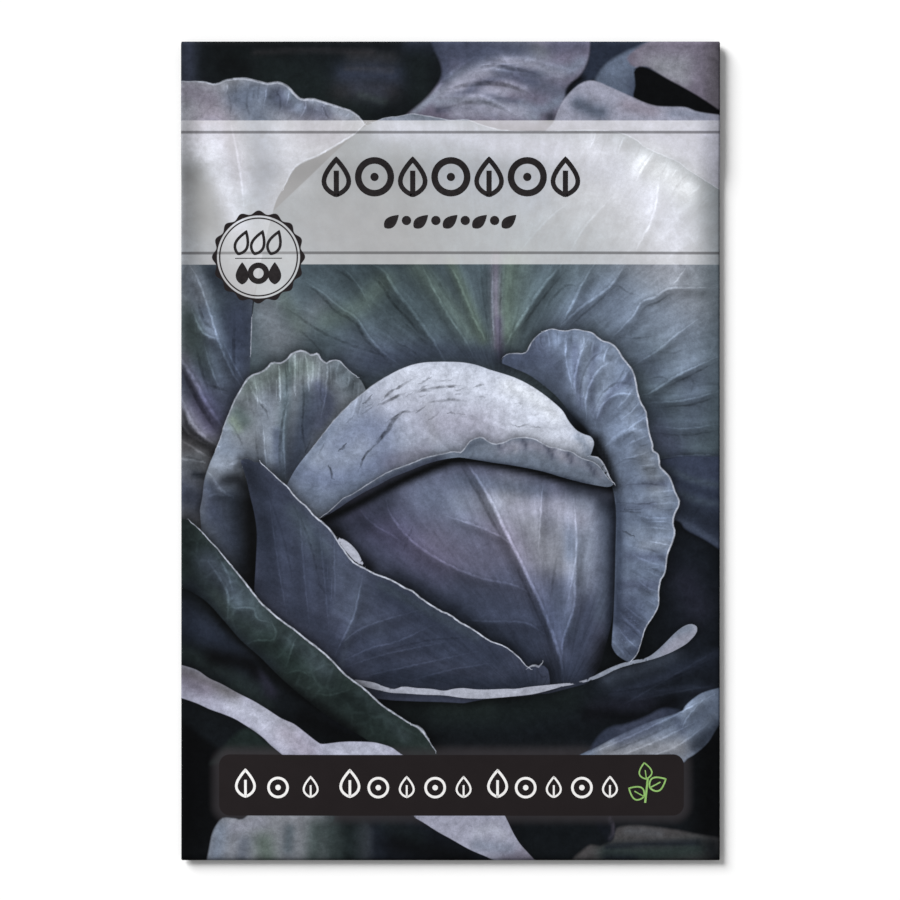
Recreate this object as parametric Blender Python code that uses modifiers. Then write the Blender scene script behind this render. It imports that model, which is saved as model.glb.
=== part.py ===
"""A flat paper seed packet, lying on its back with its printed front facing up.

One sheet of paper makes the whole envelope. The front panel carries two narrow side flaps, which fold
inwards. The back panel folds up behind them from the bottom edge and is glued to them. A flap at the top
folds down over the back panel and is glued to it. Loose seeds lie in the pocket.

Metres, +Z up. The packet is centred on X and Y, its height runs along +Y, and the back lies on Z = 0.
"""

import math
import random

import bmesh
import bpy
from mathutils import Vector

# The closed packet.
PACKET_WIDTH = 0.0826
PACKET_HEIGHT = 0.1256
PAPER_THICKNESS = 0.0002

# The folded sheet. A fold's radius is that of the middle of the paper.
SIDE_FLAP_WIDTH = 0.0090
SIDE_FLAP_TAPER = 0.0040
SIDE_FLAP_TAPER_REACH = 0.0120
SIDE_FOLD_RADIUS = 0.00030
TOP_FLAP_LENGTH = 0.0160
TOP_FLAP_TAPER = 0.0050
BACK_PANEL_INSET = 0.0010
BACK_PANEL_TOP_GAP = 0.0040

# The glue lines between the layers of paper.
GLUE_THICKNESS = 0.00008
GLUE_CLEARANCE = 0.00006
GLUE_MARGIN = 0.0015

# The seeds.
SEED_COUNT = 48
SEED_DIAMETER = 0.0018
SEED_CLEARANCE = 0.00015
SEED_ROOF_CLEARANCE = 0.00010
SEED_SHUFFLE = 17

# How the filled pocket swells: the room over the seeds, how flat the crown is, and where it steps up.
SEED_HEADROOM = 0.00060
SWELL_POWER_ACROSS = 4.0
SWELL_POWER_ALONG = 4.0
STEP_UP_LENGTH = 0.0050
STEP_UP_MARGIN = 0.0005

# Mesh fineness.
FOLD_STEPS = 6
PANEL_STEPS_ACROSS = 14
PANEL_STEPS_ALONG = 20
BACK_STEPS = 10
FLAP_STEPS = 3
STEP_UP_STEPS = 4
PANEL_TOP_STEPS = 2
GLUE_STEPS = 2

# Levels of the middle of each layer of paper, bottom to top, where nothing lifts it.
GLUE_GAP = GLUE_THICKNESS + 2 * GLUE_CLEARANCE
LAYER_STEP = PAPER_THICKNESS + GLUE_GAP
BACK_LEVEL = PAPER_THICKNESS / 2
SIDE_FLAP_LEVEL = BACK_LEVEL + LAYER_STEP
FRONT_EDGE_LEVEL = SIDE_FLAP_LEVEL + 2 * SIDE_FOLD_RADIUS
TOP_FLAP_LEVEL = PAPER_THICKNESS / 2
BOTTOM_FOLD_RADIUS = (FRONT_EDGE_LEVEL - BACK_LEVEL) / 2
TOP_FOLD_RADIUS = (FRONT_EDGE_LEVEL + LAYER_STEP - TOP_FLAP_LEVEL) / 2
CROWN_LEVEL = 1.5 * PAPER_THICKNESS + SEED_CLEARANCE + SEED_DIAMETER + SEED_HEADROOM
POCKET_SWELL = CROWN_LEVEL - FRONT_EDGE_LEVEL

# Where the flat front panel ends and its folds begin.
PANEL_HALF_WIDTH = PACKET_WIDTH / 2 - SIDE_FOLD_RADIUS - PAPER_THICKNESS / 2
PANEL_BOTTOM = PACKET_HEIGHT / 2 - BOTTOM_FOLD_RADIUS - PAPER_THICKNESS / 2
PANEL_TOP = PACKET_HEIGHT / 2 - TOP_FOLD_RADIUS - PAPER_THICKNESS / 2
BACK_HALF_WIDTH = PACKET_WIDTH / 2 - BACK_PANEL_INSET
BACK_LENGTH = PANEL_BOTTOM + PANEL_TOP - BACK_PANEL_TOP_GAP
TOP_FLAP_EDGE = PANEL_TOP - TOP_FLAP_LENGTH
STEP_UP_END = TOP_FLAP_EDGE - STEP_UP_MARGIN
STEP_UP_START = STEP_UP_END - STEP_UP_LENGTH

PAPER = ((0.16, 0.16, 0.20), 0.55)
GLUE = ((0.80, 0.76, 0.62), 0.40)
SEED = ((0.16, 0.08, 0.06), 0.60)


def clear_scene():
    for thing in list(bpy.data.objects):
        bpy.data.objects.remove(thing, do_unlink=True)


def make_material(name, colour, roughness):
    material = bpy.data.materials.new(name)
    material.use_nodes = True
    shader = material.node_tree.nodes["Principled BSDF"]
    shader.inputs["Base Color"].default_value = (*colour, 1.0)
    shader.inputs["Roughness"].default_value = roughness
    shader.inputs["Metallic"].default_value = 0.0
    return material


def smooth_step(value):
    held = min(1.0, max(0.0, value))
    return held * held * (3 - 2 * held)


def lift(y):
    """How far the top flap, lying underneath, raises the other layers at this height up the packet."""
    return LAYER_STEP * smooth_step((y - STEP_UP_START) / (STEP_UP_END - STEP_UP_START))


def swell(x, y):
    """How far the seeds push the front panel up, falling to nothing at its folds."""
    across = min(1.0, abs(x) / PANEL_HALF_WIDTH)
    middle = (STEP_UP_START - PANEL_BOTTOM) / 2
    along = min(1.0, abs(y - middle) / (STEP_UP_START - middle))
    return (
        POCKET_SWELL
        * (1 - across**SWELL_POWER_ACROSS) ** 2
        * (1 - along**SWELL_POWER_ALONG) ** 2
    )


def wrap(distance, panel_half, radius):
    """Where a sheet lies after folding under at panel_half: its place, and its drop below the panel."""
    side = math.copysign(1.0, distance)
    past = abs(distance) - panel_half
    if past <= 0:
        return distance, 0.0
    turn = past / radius
    if turn < math.pi:
        return side * (panel_half + radius * math.sin(turn)), radius * (1 - math.cos(turn))
    return side * (panel_half - (past - math.pi * radius)), 2 * radius


def folded_side(u, v):
    """A point of the front panel, a side fold or a side flap."""
    x, drop = wrap(u, PANEL_HALF_WIDTH, SIDE_FOLD_RADIUS)
    past = max(0.0, abs(u) - PANEL_HALF_WIDTH)
    taper = SIDE_FLAP_TAPER * past / (math.pi * SIDE_FOLD_RADIUS + SIDE_FLAP_WIDTH)
    from_end = min(PANEL_TOP - v, v + PANEL_BOTTOM)
    share = smooth_step(1 - from_end / SIDE_FLAP_TAPER_REACH)
    y = v - math.copysign(taper * share, v)
    raised = swell(x, y) if past == 0 else 0.0
    return Vector((x, y, FRONT_EDGE_LEVEL + lift(y) + raised - drop))


def folded_bottom(u, v):
    """A point of the bottom fold or the back panel."""
    y, drop = wrap(v, PANEL_BOTTOM, BOTTOM_FOLD_RADIUS)
    past = -v - PANEL_BOTTOM
    narrowed = 1 - BACK_HALF_WIDTH / PANEL_HALF_WIDTH
    share = smooth_step(past / (math.pi * BOTTOM_FOLD_RADIUS))
    return Vector((u * (1 - narrowed * share), y, FRONT_EDGE_LEVEL - drop + lift(y)))


def folded_top(u, v):
    """A point of the top fold or the top flap."""
    y, drop = wrap(v, PANEL_TOP, TOP_FOLD_RADIUS)
    past = v - PANEL_TOP
    taper = TOP_FLAP_TAPER * past / (math.pi * TOP_FOLD_RADIUS + TOP_FLAP_LENGTH)
    level = FRONT_EDGE_LEVEL + LAYER_STEP - drop
    return Vector((u * (1 - taper / PANEL_HALF_WIDTH), y, level))


def evenly(start, end, steps):
    return [start + (end - start) * i / steps for i in range(1, steps + 1)]


def side_lines():
    """Distances across the flat blank at which the sheet is divided."""
    fold_end = PANEL_HALF_WIDTH + math.pi * SIDE_FOLD_RADIUS
    right = [PANEL_HALF_WIDTH]
    right += evenly(PANEL_HALF_WIDTH, fold_end, FOLD_STEPS)
    right += evenly(fold_end, fold_end + SIDE_FLAP_WIDTH, FLAP_STEPS)
    panel = evenly(-PANEL_HALF_WIDTH, PANEL_HALF_WIDTH, PANEL_STEPS_ACROSS)[:-1]
    return [-u for u in reversed(right)] + panel + right


def length_lines():
    """Distances along the flat blank, from the back panel's free end to the top flap's."""
    bottom_fold = PANEL_BOTTOM + math.pi * BOTTOM_FOLD_RADIUS
    flat_back = STEP_UP_START + PANEL_BOTTOM
    raised_back = STEP_UP_END + PANEL_BOTTOM
    back = evenly(0, flat_back, BACK_STEPS)
    back += evenly(flat_back, raised_back, STEP_UP_STEPS)
    back.append(BACK_LENGTH)
    lines = [-(bottom_fold + distance) for distance in reversed(back)]
    lines += [-bottom_fold] + [
        -v for v in reversed(evenly(PANEL_BOTTOM, bottom_fold, FOLD_STEPS)[:-1])
    ]
    lines += [-PANEL_BOTTOM]
    lines += evenly(-PANEL_BOTTOM, STEP_UP_START, PANEL_STEPS_ALONG)
    lines += evenly(STEP_UP_START, STEP_UP_END, STEP_UP_STEPS)
    lines += evenly(STEP_UP_END, PANEL_TOP, PANEL_TOP_STEPS)
    fold_end = PANEL_TOP + math.pi * TOP_FOLD_RADIUS
    lines += evenly(PANEL_TOP, fold_end, FOLD_STEPS)
    lines += evenly(fold_end, fold_end + TOP_FLAP_LENGTH, FLAP_STEPS)
    return lines


def solidify(thing, thickness):
    shell = thing.modifiers.new("Thickness", "SOLIDIFY")
    shell.thickness = thickness
    shell.offset = 0.0
    shell.use_even_offset = True
    return shell


def add_object(name, mesh, material, collection):
    thing = bpy.data.objects.new(name, mesh)
    thing.data.materials.append(material)
    collection.objects.link(thing)
    return thing


def grid_mesh(name, place, columns, rows, keep):
    """A grid whose corner (column, row) goes to place(column, row), without the squares that keep refuses."""
    shape = bmesh.new()
    bmesh.ops.create_grid(
        shape, x_segments=len(columns) - 1, y_segments=len(rows) - 1, size=0.5
    )
    waste = []
    for face in shape.faces:
        middle = face.calc_center_median()
        column = int((middle.x + 0.5) * (len(columns) - 1))
        row = int((middle.y + 0.5) * (len(rows) - 1))
        across = (columns[column] + columns[column + 1]) / 2
        along = (rows[row] + rows[row + 1]) / 2
        if not keep(across, along):
            waste.append(face)
    bmesh.ops.delete(shape, geom=waste, context="FACES")
    for corner in shape.verts:
        column = round((corner.co.x + 0.5) * (len(columns) - 1))
        row = round((corner.co.y + 0.5) * (len(rows) - 1))
        corner.co = place(columns[column], rows[row])
    mesh = bpy.data.meshes.new(name)
    shape.to_mesh(mesh)
    shape.free()
    mesh.shade_smooth()
    return mesh


def make_packet(collection, material):
    """The whole envelope, folded from one blank."""

    def place(u, v):
        if v < -PANEL_BOTTOM:
            return folded_bottom(u, v)
        if v > PANEL_TOP:
            return folded_top(u, v)
        return folded_side(u, v)

    def on_blank(u, v):
        return abs(u) < PANEL_HALF_WIDTH or -PANEL_BOTTOM < v < PANEL_TOP

    mesh = grid_mesh("packet_paper", place, side_lines(), length_lines(), on_blank)
    packet = add_object("packet_paper", mesh, material, collection)
    solidify(packet, PAPER_THICKNESS)


def make_side_glue(collection, material, name, side):
    """The glue line that holds the back panel to one side flap."""
    outer = BACK_HALF_WIDTH - GLUE_MARGIN
    inner = PANEL_HALF_WIDTH - SIDE_FLAP_WIDTH + GLUE_MARGIN
    level = BACK_LEVEL + LAYER_STEP / 2
    bottom = -PANEL_BOTTOM + SIDE_FLAP_TAPER + GLUE_MARGIN
    end = PANEL_TOP - max(SIDE_FLAP_TAPER, BACK_PANEL_TOP_GAP) - GLUE_MARGIN
    columns = sorted((side * inner, side * outer))
    rows = [bottom, *evenly(bottom, STEP_UP_START, GLUE_STEPS)]
    rows += [*evenly(STEP_UP_START, STEP_UP_END, STEP_UP_STEPS), end]
    mesh = grid_mesh(
        name,
        lambda x, y: Vector((x, y, level + lift(y))),
        columns,
        rows,
        lambda x, y: True,
    )
    glue = add_object(name, mesh, material, collection)
    solidify(glue, GLUE_THICKNESS)


def make_top_glue(collection, material):
    """The glue line that holds the top flap to the back panel."""
    half = PANEL_HALF_WIDTH - TOP_FLAP_TAPER - GLUE_MARGIN
    low = TOP_FLAP_EDGE + GLUE_MARGIN
    high = PANEL_TOP - BACK_PANEL_TOP_GAP - GLUE_MARGIN
    level = TOP_FLAP_LEVEL + LAYER_STEP / 2
    bpy.ops.mesh.primitive_cube_add(size=1.0, location=(0, (low + high) / 2, level))
    glue = bpy.context.object
    glue.name = "top_flap_glue"
    glue.scale = (2 * half, high - low, GLUE_THICKNESS)
    bpy.ops.object.transform_apply(location=False, rotation=False, scale=True)
    glue.data.materials.append(material)
    for owner in list(glue.users_collection):
        owner.objects.unlink(glue)
    collection.objects.link(glue)


def seed_places():
    """Places in the pocket that are high enough for a seed and clear of the other seeds."""
    chance = random.Random(SEED_SHUFFLE)
    level = PAPER_THICKNESS + SEED_CLEARANCE + SEED_DIAMETER / 2
    roof_needed = level + SEED_DIAMETER / 2 + SEED_ROOF_CLEARANCE
    apart = SEED_DIAMETER + SEED_CLEARANCE
    places = []
    while len(places) < SEED_COUNT:
        x = chance.uniform(-PANEL_HALF_WIDTH, PANEL_HALF_WIDTH)
        y = chance.triangular(-PANEL_BOTTOM, STEP_UP_START, -PANEL_BOTTOM / 2)
        corners = [
            (x + dx * SEED_DIAMETER / 2, y + dy * SEED_DIAMETER / 2)
            for dx in (-1, 1)
            for dy in (-1, 1)
        ]
        roof = min(
            FRONT_EDGE_LEVEL + swell(cx, cy) - PAPER_THICKNESS / 2 for cx, cy in corners
        )
        crowded = any(math.dist((x, y), (place.x, place.y)) < apart for place in places)
        if roof > roof_needed and not crowded:
            places.append(Vector((x, y, level)))
    return places


def make_seeds(collection, material):
    chance = random.Random(SEED_SHUFFLE)
    for number, place in enumerate(seed_places(), start=1):
        bpy.ops.mesh.primitive_ico_sphere_add(
            subdivisions=2, radius=SEED_DIAMETER / 2, location=place
        )
        seed = bpy.context.object
        seed.name = f"seed_{number:02d}"
        seed.rotation_euler = [chance.uniform(0, math.tau) for _ in range(3)]
        seed.data.shade_smooth()
        seed.data.materials.append(material)
        for owner in list(seed.users_collection):
            owner.objects.unlink(seed)
        collection.objects.link(seed)


def main():
    clear_scene()
    collection = bpy.data.collections.new("seed_packet")
    bpy.context.scene.collection.children.link(collection)
    make_packet(collection, make_material("printed_paper", *PAPER))
    glue = make_material("dried_glue", *GLUE)
    make_side_glue(collection, glue, "left_side_glue", -1)
    make_side_glue(collection, glue, "right_side_glue", 1)
    make_top_glue(collection, glue)
    make_seeds(collection, make_material("seed_coat", *SEED))


main()
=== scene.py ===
"""Looks of a flat paper seed packet, lying on its back with its printed front up.

The front is printed with a head of red cabbage in its leaves, drawn here leaf by leaf from outlines in
millimetres. The pale band, the round seal and the dark label carry plain ornaments instead of words.
"""

import math
import random

import bmesh
import bpy
import numpy as np
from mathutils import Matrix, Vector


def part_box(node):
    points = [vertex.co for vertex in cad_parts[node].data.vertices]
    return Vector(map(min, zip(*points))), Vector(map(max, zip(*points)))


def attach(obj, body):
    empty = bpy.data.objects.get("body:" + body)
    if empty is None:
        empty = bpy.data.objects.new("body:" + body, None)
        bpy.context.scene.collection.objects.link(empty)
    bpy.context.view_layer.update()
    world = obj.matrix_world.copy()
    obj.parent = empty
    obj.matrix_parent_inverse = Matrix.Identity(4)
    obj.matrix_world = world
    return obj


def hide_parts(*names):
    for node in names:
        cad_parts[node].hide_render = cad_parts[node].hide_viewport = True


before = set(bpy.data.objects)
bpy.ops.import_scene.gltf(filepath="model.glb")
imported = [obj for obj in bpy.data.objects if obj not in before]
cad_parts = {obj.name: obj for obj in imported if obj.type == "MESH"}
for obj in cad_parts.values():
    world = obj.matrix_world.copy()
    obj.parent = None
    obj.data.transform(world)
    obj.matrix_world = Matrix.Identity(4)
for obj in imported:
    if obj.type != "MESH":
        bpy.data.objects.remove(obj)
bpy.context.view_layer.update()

MM = 0.001

# The folded sheet, as in the design.
PACKET_WIDTH = 0.0826
PACKET_HEIGHT = 0.1256
PAPER_THICKNESS = 0.0002
SIDE_FLAP_WIDTH = 0.0090
SIDE_FLAP_TAPER = 0.0040
SIDE_FLAP_TAPER_REACH = 0.0120
SIDE_FOLD_RADIUS = 0.00030
TOP_FLAP_LENGTH = 0.0160
TOP_FLAP_TAPER = 0.0050
BACK_PANEL_INSET = 0.0010
BACK_PANEL_TOP_GAP = 0.0040
LAYER_STEP = 0.0004
POCKET_SWELL = 0.00175
BACK_LEVEL = PAPER_THICKNESS / 2
FRONT_EDGE_LEVEL = BACK_LEVEL + LAYER_STEP + 2 * SIDE_FOLD_RADIUS
BOTTOM_FOLD_RADIUS = (FRONT_EDGE_LEVEL - BACK_LEVEL) / 2
TOP_FOLD_RADIUS = (FRONT_EDGE_LEVEL + LAYER_STEP - BACK_LEVEL) / 2
PANEL_HALF_WIDTH = PACKET_WIDTH / 2 - SIDE_FOLD_RADIUS - PAPER_THICKNESS / 2
PANEL_BOTTOM = PACKET_HEIGHT / 2 - BOTTOM_FOLD_RADIUS - PAPER_THICKNESS / 2
PANEL_TOP = PACKET_HEIGHT / 2 - TOP_FOLD_RADIUS - PAPER_THICKNESS / 2
BACK_HALF_WIDTH = PACKET_WIDTH / 2 - BACK_PANEL_INSET
BACK_LENGTH = PANEL_BOTTOM + PANEL_TOP - BACK_PANEL_TOP_GAP
STEP_UP_END = PANEL_TOP - TOP_FLAP_LENGTH - 0.0005
STEP_UP_START = STEP_UP_END - 0.0050

# The sheet is drawn a little thinner than the paper, and the print lies on it as a film of its own.
SHEET_THICKNESS = 0.00015
FILM_THICKNESS = 0.00002
FILM_SEAT = 0.000001
FILM_CELL = 0.0005
SHEET_CELL = 0.0020
ORNAMENT_THICKNESS = 0.000012

# Inks of the picture, as they look on the paper.
INKS = {
    "night": "07080a", "coal": "12161a", "soot": "1b2029", "navy": "272e3d", "indigo": "353c4e",
    "dusk": "454b5f", "slate": "535d6f", "steel": "687489", "haze": "7b879a", "mist": "8f99aa",
    "lilac": "a3a5b8", "pale": "b7bbcb", "frost": "cbd1e0", "snow": "dfe4ea", "pine": "1c2425",
    "moss": "2d3938", "sage": "465352", "teal": "4b5860", "fern": "596860", "olive": "5f7050",
    "plum": "46415a", "mauve": "6e6878", "rose": "938795", "bark": "383538", "ash": "6d737b",
    "blue": "6b7692", "violet": "5a5e74", "grey": "8a8d95", "brown": "504e50", "green": "24302f",
    "dove": "706b7e",
}


# ---------------------------------------------------------------- the folded surface


def smooth_step(value):
    held = np.clip(value, 0.0, 1.0)
    return held * held * (3 - 2 * held)


def lift(y):
    return LAYER_STEP * smooth_step((y - STEP_UP_START) / (STEP_UP_END - STEP_UP_START))


def swell(x, y):
    """The filled pocket, with faint shallow dents where the paper lies between the seeds."""
    across = np.minimum(1.0, np.abs(x) / PANEL_HALF_WIDTH)
    middle = (STEP_UP_START - PANEL_BOTTOM) / 2
    along = np.minimum(1.0, np.abs(y - middle) / (STEP_UP_START - middle))
    crown = (1 - across**4) ** 2 * (1 - along**4) ** 2
    dents = 0.5 + 0.25 * np.sin(x / MM * 0.31 + 1.3 * np.sin(y / MM * 0.17)) + 0.25 * np.sin(
        y / MM * 0.23 + 1.1 * np.sin(x / MM * 0.19 + 2)
    )
    return POCKET_SWELL * crown * (1 - 0.05 * dents)


def wrap(distance, panel_half, radius):
    side = np.sign(distance)
    past = np.abs(distance) - panel_half
    turn = past / radius
    place = np.where(
        turn < math.pi,
        side * (panel_half + radius * np.sin(turn)),
        side * (panel_half - (past - math.pi * radius)),
    )
    drop = np.where(turn < math.pi, radius * (1 - np.cos(turn)), 2 * radius)
    flat = past <= 0
    return np.where(flat, distance, place), np.where(flat, 0.0, drop)


def folded(u, v, trimmed=True):
    """Where a point of the flat blank lies on the folded packet, on the middle of the paper.

    Trimmed, the flaps and the back panel draw in from the packet's outline as they are cut.
    """
    x, side_drop = wrap(u, PANEL_HALF_WIDTH, SIDE_FOLD_RADIUS)
    past = np.maximum(0.0, np.abs(u) - PANEL_HALF_WIDTH)
    taper = trimmed * SIDE_FLAP_TAPER * past / (math.pi * SIDE_FOLD_RADIUS + SIDE_FLAP_WIDTH)
    from_end = np.minimum(PANEL_TOP - v, v + PANEL_BOTTOM)
    pull = np.sign(v) * taper * smooth_step(1 - from_end / SIDE_FLAP_TAPER_REACH)
    y = v - pull
    raised = np.where(past == 0, swell(x, y), 0.0)
    side = np.stack([x, y, FRONT_EDGE_LEVEL + lift(y) + raised - side_drop], axis=-1)

    y, drop = wrap(v, PANEL_BOTTOM, BOTTOM_FOLD_RADIUS)
    share = smooth_step((-v - PANEL_BOTTOM) / (math.pi * BOTTOM_FOLD_RADIUS))
    narrowed = 1 - trimmed * (1 - BACK_HALF_WIDTH / PANEL_HALF_WIDTH) * share
    level = FRONT_EDGE_LEVEL + lift(y) - np.maximum(drop, side_drop)
    bottom = np.stack([x * narrowed, y - pull, level], axis=-1)

    y, drop = wrap(v, PANEL_TOP, TOP_FOLD_RADIUS)
    taper = trimmed * TOP_FLAP_TAPER * (v - PANEL_TOP) / (math.pi * TOP_FOLD_RADIUS + TOP_FLAP_LENGTH)
    level = FRONT_EDGE_LEVEL + LAYER_STEP - np.maximum(drop, side_drop)
    top = np.stack([x * (1 - taper / PANEL_HALF_WIDTH), y - pull, level], axis=-1)
    under = (v < -PANEL_BOTTOM)[..., None]
    over = (v > PANEL_TOP)[..., None]
    return np.where(under, bottom, np.where(over, top, side))


def outward(u, v, trimmed=True):
    small = 1e-6
    along_u = folded(u + small, v, trimmed) - folded(u - small, v, trimmed)
    along_v = folded(u, v + small, trimmed) - folded(u, v - small, trimmed)
    normal = np.cross(along_u, along_v)
    return normal / np.linalg.norm(normal, axis=-1, keepdims=True)


def evenly(start, end, cell):
    steps = max(1, round(abs(end - start) / cell))
    return [start + (end - start) * i / steps for i in range(1, steps + 1)]


# ---------------------------------------------------------------- modelling by hand


def start_fresh():
    if bpy.context.mode != "OBJECT":
        bpy.ops.object.mode_set(mode="OBJECT")
    bpy.ops.object.select_all(action="DESELECT")


def finish_piece(piece, name, materials):
    piece.name = name
    piece.data.name = name
    piece.data.materials.clear()
    for material in materials:
        piece.data.materials.append(material)
    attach(piece, "root")
    return piece


def folded_grid(columns, rows, height, notched):
    """A grid of the blank on the folded surface, this high over the middle of the paper, with its corners notched."""
    start_fresh()
    bpy.ops.mesh.primitive_grid_add(
        x_subdivisions=len(columns) - 1, y_subdivisions=len(rows) - 1, size=1.0
    )
    piece = bpy.context.object
    bpy.ops.object.mode_set(mode="EDIT")
    bpy.ops.mesh.select_all(action="DESELECT")
    shape = bmesh.from_edit_mesh(piece.data)
    for face in shape.faces:
        middle = face.calc_center_median()
        column = int((middle.x + 0.5) * (len(columns) - 1))
        row = int((middle.y + 0.5) * (len(rows) - 1))
        across = (columns[column] + columns[column + 1]) / 2
        along = (rows[row] + rows[row + 1]) / 2
        face.select_set(notched and abs(across) > PANEL_HALF_WIDTH and not -PANEL_BOTTOM < along < PANEL_TOP)
    bmesh.update_edit_mesh(piece.data)
    bpy.ops.mesh.delete(type="FACE")
    bpy.ops.object.mode_set(mode="OBJECT")
    flat = np.empty(len(piece.data.vertices) * 3)
    piece.data.vertices.foreach_get("co", flat)
    flat = flat.reshape(-1, 3)
    u = np.array(columns)[np.rint((flat[:, 0] + 0.5) * (len(columns) - 1)).astype(int)]
    v = np.array(rows)[np.rint((flat[:, 1] + 0.5) * (len(rows) - 1)).astype(int)]
    place = folded(u, v, notched) + outward(u, v, notched) * height
    piece.data.vertices.foreach_set("co", place.ravel())
    piece.data.update()
    return piece, u, v


def thicken(piece, thickness, offset, inner_slot=0, rim_slot=0):
    shell = piece.modifiers.new("Thickness", "SOLIDIFY")
    shell.thickness = thickness
    shell.offset = offset
    shell.use_even_offset = True
    shell.material_offset = inner_slot
    shell.material_offset_rim = rim_slot
    bpy.context.view_layer.objects.active = piece
    piece.select_set(True)
    bpy.ops.object.modifier_apply(modifier=shell.name)
    bpy.ops.object.shade_smooth_by_angle(angle=math.radians(50))


def add_colours(piece, name, values):
    layer = piece.data.attributes.new(name, "FLOAT_COLOR", "POINT")
    layer.data.foreach_set("color", np.ascontiguousarray(values, np.float32).ravel())


def add_vectors(piece, name, values):
    layer = piece.data.attributes.new(name, "FLOAT_VECTOR", "POINT")
    layer.data.foreach_set("vector", np.ascontiguousarray(values, np.float32).ravel())


# ---------------------------------------------------------------- drawing tools, in millimetres


def ink(name):
    code = INKS[name]
    return np.array([int(code[i : i + 2], 16) / 255 for i in (0, 2, 4)])


def linear(colour):
    return np.where(colour <= 0.04045, colour / 12.92, ((colour + 0.055) / 1.055) ** 2.4)


def smooth_run(points, parts=5):
    """A smooth curve through the points."""
    given = np.array(points, float)
    if len(given) < 3:
        return given
    padded = np.vstack([2 * given[0] - given[1], given, 2 * given[-1] - given[-2]])
    run = []
    for i in range(len(given) - 1):
        a, b, c, d = padded[i : i + 4]
        for step in range(parts):
            t = step / parts
            run.append(
                0.5
                * (2 * b + (c - a) * t + (2 * a - 5 * b + 4 * c - d) * t**2 + (3 * b - a - 3 * c + d) * t**3)
            )
    run.append(given[-1])
    return np.array(run)


def nearest(spots, starts, ends):
    """For each spot: its distance to the nearest segment, the side it lies on, the segment and the share along it."""
    best = np.full(len(spots), 1e9)
    side = np.zeros(len(spots))
    which = np.zeros(len(spots), int)
    share = np.zeros(len(spots))
    for i, (a, b) in enumerate(zip(starts, ends)):
        run = b - a
        length = max(1e-9, float(run @ run))
        away = spots - a
        t = np.clip((away @ run) / length, 0, 1)
        gap = away - t[:, None] * run
        d = np.einsum("ij,ij->i", gap, gap)
        closer = d < best
        best[closer] = d[closer]
        side[closer] = (run[0] * away[:, 1] - run[1] * away[:, 0])[closer]
        which[closer] = i
        share[closer] = t[closer]
    return np.sqrt(best), np.where(side < 0, -1.0, 1.0), which, share


def inside(spots, loop):
    x, y = spots[:, 0], spots[:, 1]
    found = np.zeros(len(spots), bool)
    for a, b in zip(loop, np.roll(loop, -1, axis=0)):
        if a[1] == b[1]:
            continue
        crosses = (a[1] > y) != (b[1] > y)
        found ^= crosses & (x < (b[0] - a[0]) * (y - a[1]) / (b[1] - a[1]) + a[0])
    return found


def edge_distance(spots, loop):
    """Millimetres inside the outline, negative outside it."""
    distance = nearest(spots, loop, np.roll(loop, -1, axis=0))[0]
    return np.where(inside(spots, loop), distance, -distance)


class Leaf:
    """One shape of the picture: its outline, its ground tone and the soft strokes laid on it."""

    def __init__(self, name, tone, *runs, soft=0.08, shade=0.0, reach=1.5, fan=None, net=0.0, gain=1.0):
        self.name, self.tone, self.soft = name, tone, soft
        self.shade, self.reach, self.fan, self.net, self.gain = shade, reach, fan, net, gain
        self.loop = np.vstack([smooth_run(run) for run in runs])
        self.strokes, self.ruffles = [], []

    def stroke(self, tone, radius, strength, *points):
        self.strokes.append((tone, radius, strength, points))
        return self

    def ruffle(self, run, pitch, depth, reach, lean=0.0):
        self.ruffles.append((smooth_run(run), pitch, depth, reach, lean))
        return self

    def paint(self, spots):
        self.inset = edge_distance(spots, self.loop)
        colour = np.tile(ink(self.tone), (len(spots), 1))
        near = self.inset > -2.0
        some = spots[near]
        local = colour[near]
        for tone, radius, strength, points in self.strokes:
            run = smooth_run(points) if len(points) > 1 else np.array([points[0], points[0]], float)
            gap = nearest(some, run[:-1], run[1:])[0]
            weight = (strength * np.exp(-((gap / radius) ** 2)))[:, None]
            local = local * (1 - weight) + ink(tone) * weight
        for run, pitch, depth, reach, lean in self.ruffles:
            gap, _, which, share = nearest(some, run[:-1], run[1:])
            steps = np.linalg.norm(np.diff(run, axis=0), axis=1)
            along = (np.concatenate([[0], np.cumsum(steps)]))[which] + share * steps[which] + lean * gap
            wobble = 0.9 * np.sin(along * 0.9 / pitch) + 0.6 * np.sin(along * 2.3 / pitch + 1)
            fold = np.sin(math.tau * along / pitch + wobble)
            fold += 0.45 * np.sin(math.tau * along / pitch * 2.37 + 2 * wobble)
            local = local * (1 + depth * fold * np.exp(-gap / reach))[:, None]
        colour[near] = local * self.gain
        self.colour = colour


# Curves that neighbouring leaves share.
FIRST_RIM = [(-42, 56.6), (-38, 56.5), (-36, 56.1), (-34.5, 56.7), (-32, 57), (-30, 56.7), (-28, 56.2), (-26.5, 56.4), (-25, 55.8), (-23.9, 54.6), (-22.8, 53.8), (-21, 53.8), (-19, 53.2), (-17, 52.6), (-15.2, 52), (-14, 51.1), (-13.1, 50)]
FIRST_SIDE = [(-13.1, 50), (-14.5, 48.7), (-16.2, 47.6), (-18.4, 46.3), (-20.6, 45.1), (-22.6, 44.3), (-24, 43.3), (-24.9, 41.8), (-25.6, 40.3), (-26.6, 38.6), (-27.4, 36), (-28.4, 32), (-29.4, 27), (-30.2, 23), (-30.4, 20), (-30.5, 17), (-30.6, 14.5)]
BACK_RIM = [(-14, 49.2), (-12, 50.2), (-10, 51), (-8, 51.2), (-6, 51.6), (-4.5, 51.4), (-2, 51), (0, 50.6), (2.5, 50.7), (4.5, 50), (8, 49.1), (14, 48.9), (20, 49.1), (25, 48.9), (28, 47.9), (30, 46.4), (33, 45.1), (35, 44.2), (36.2, 43.2), (38, 42.1), (42, 39.6)]
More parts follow.
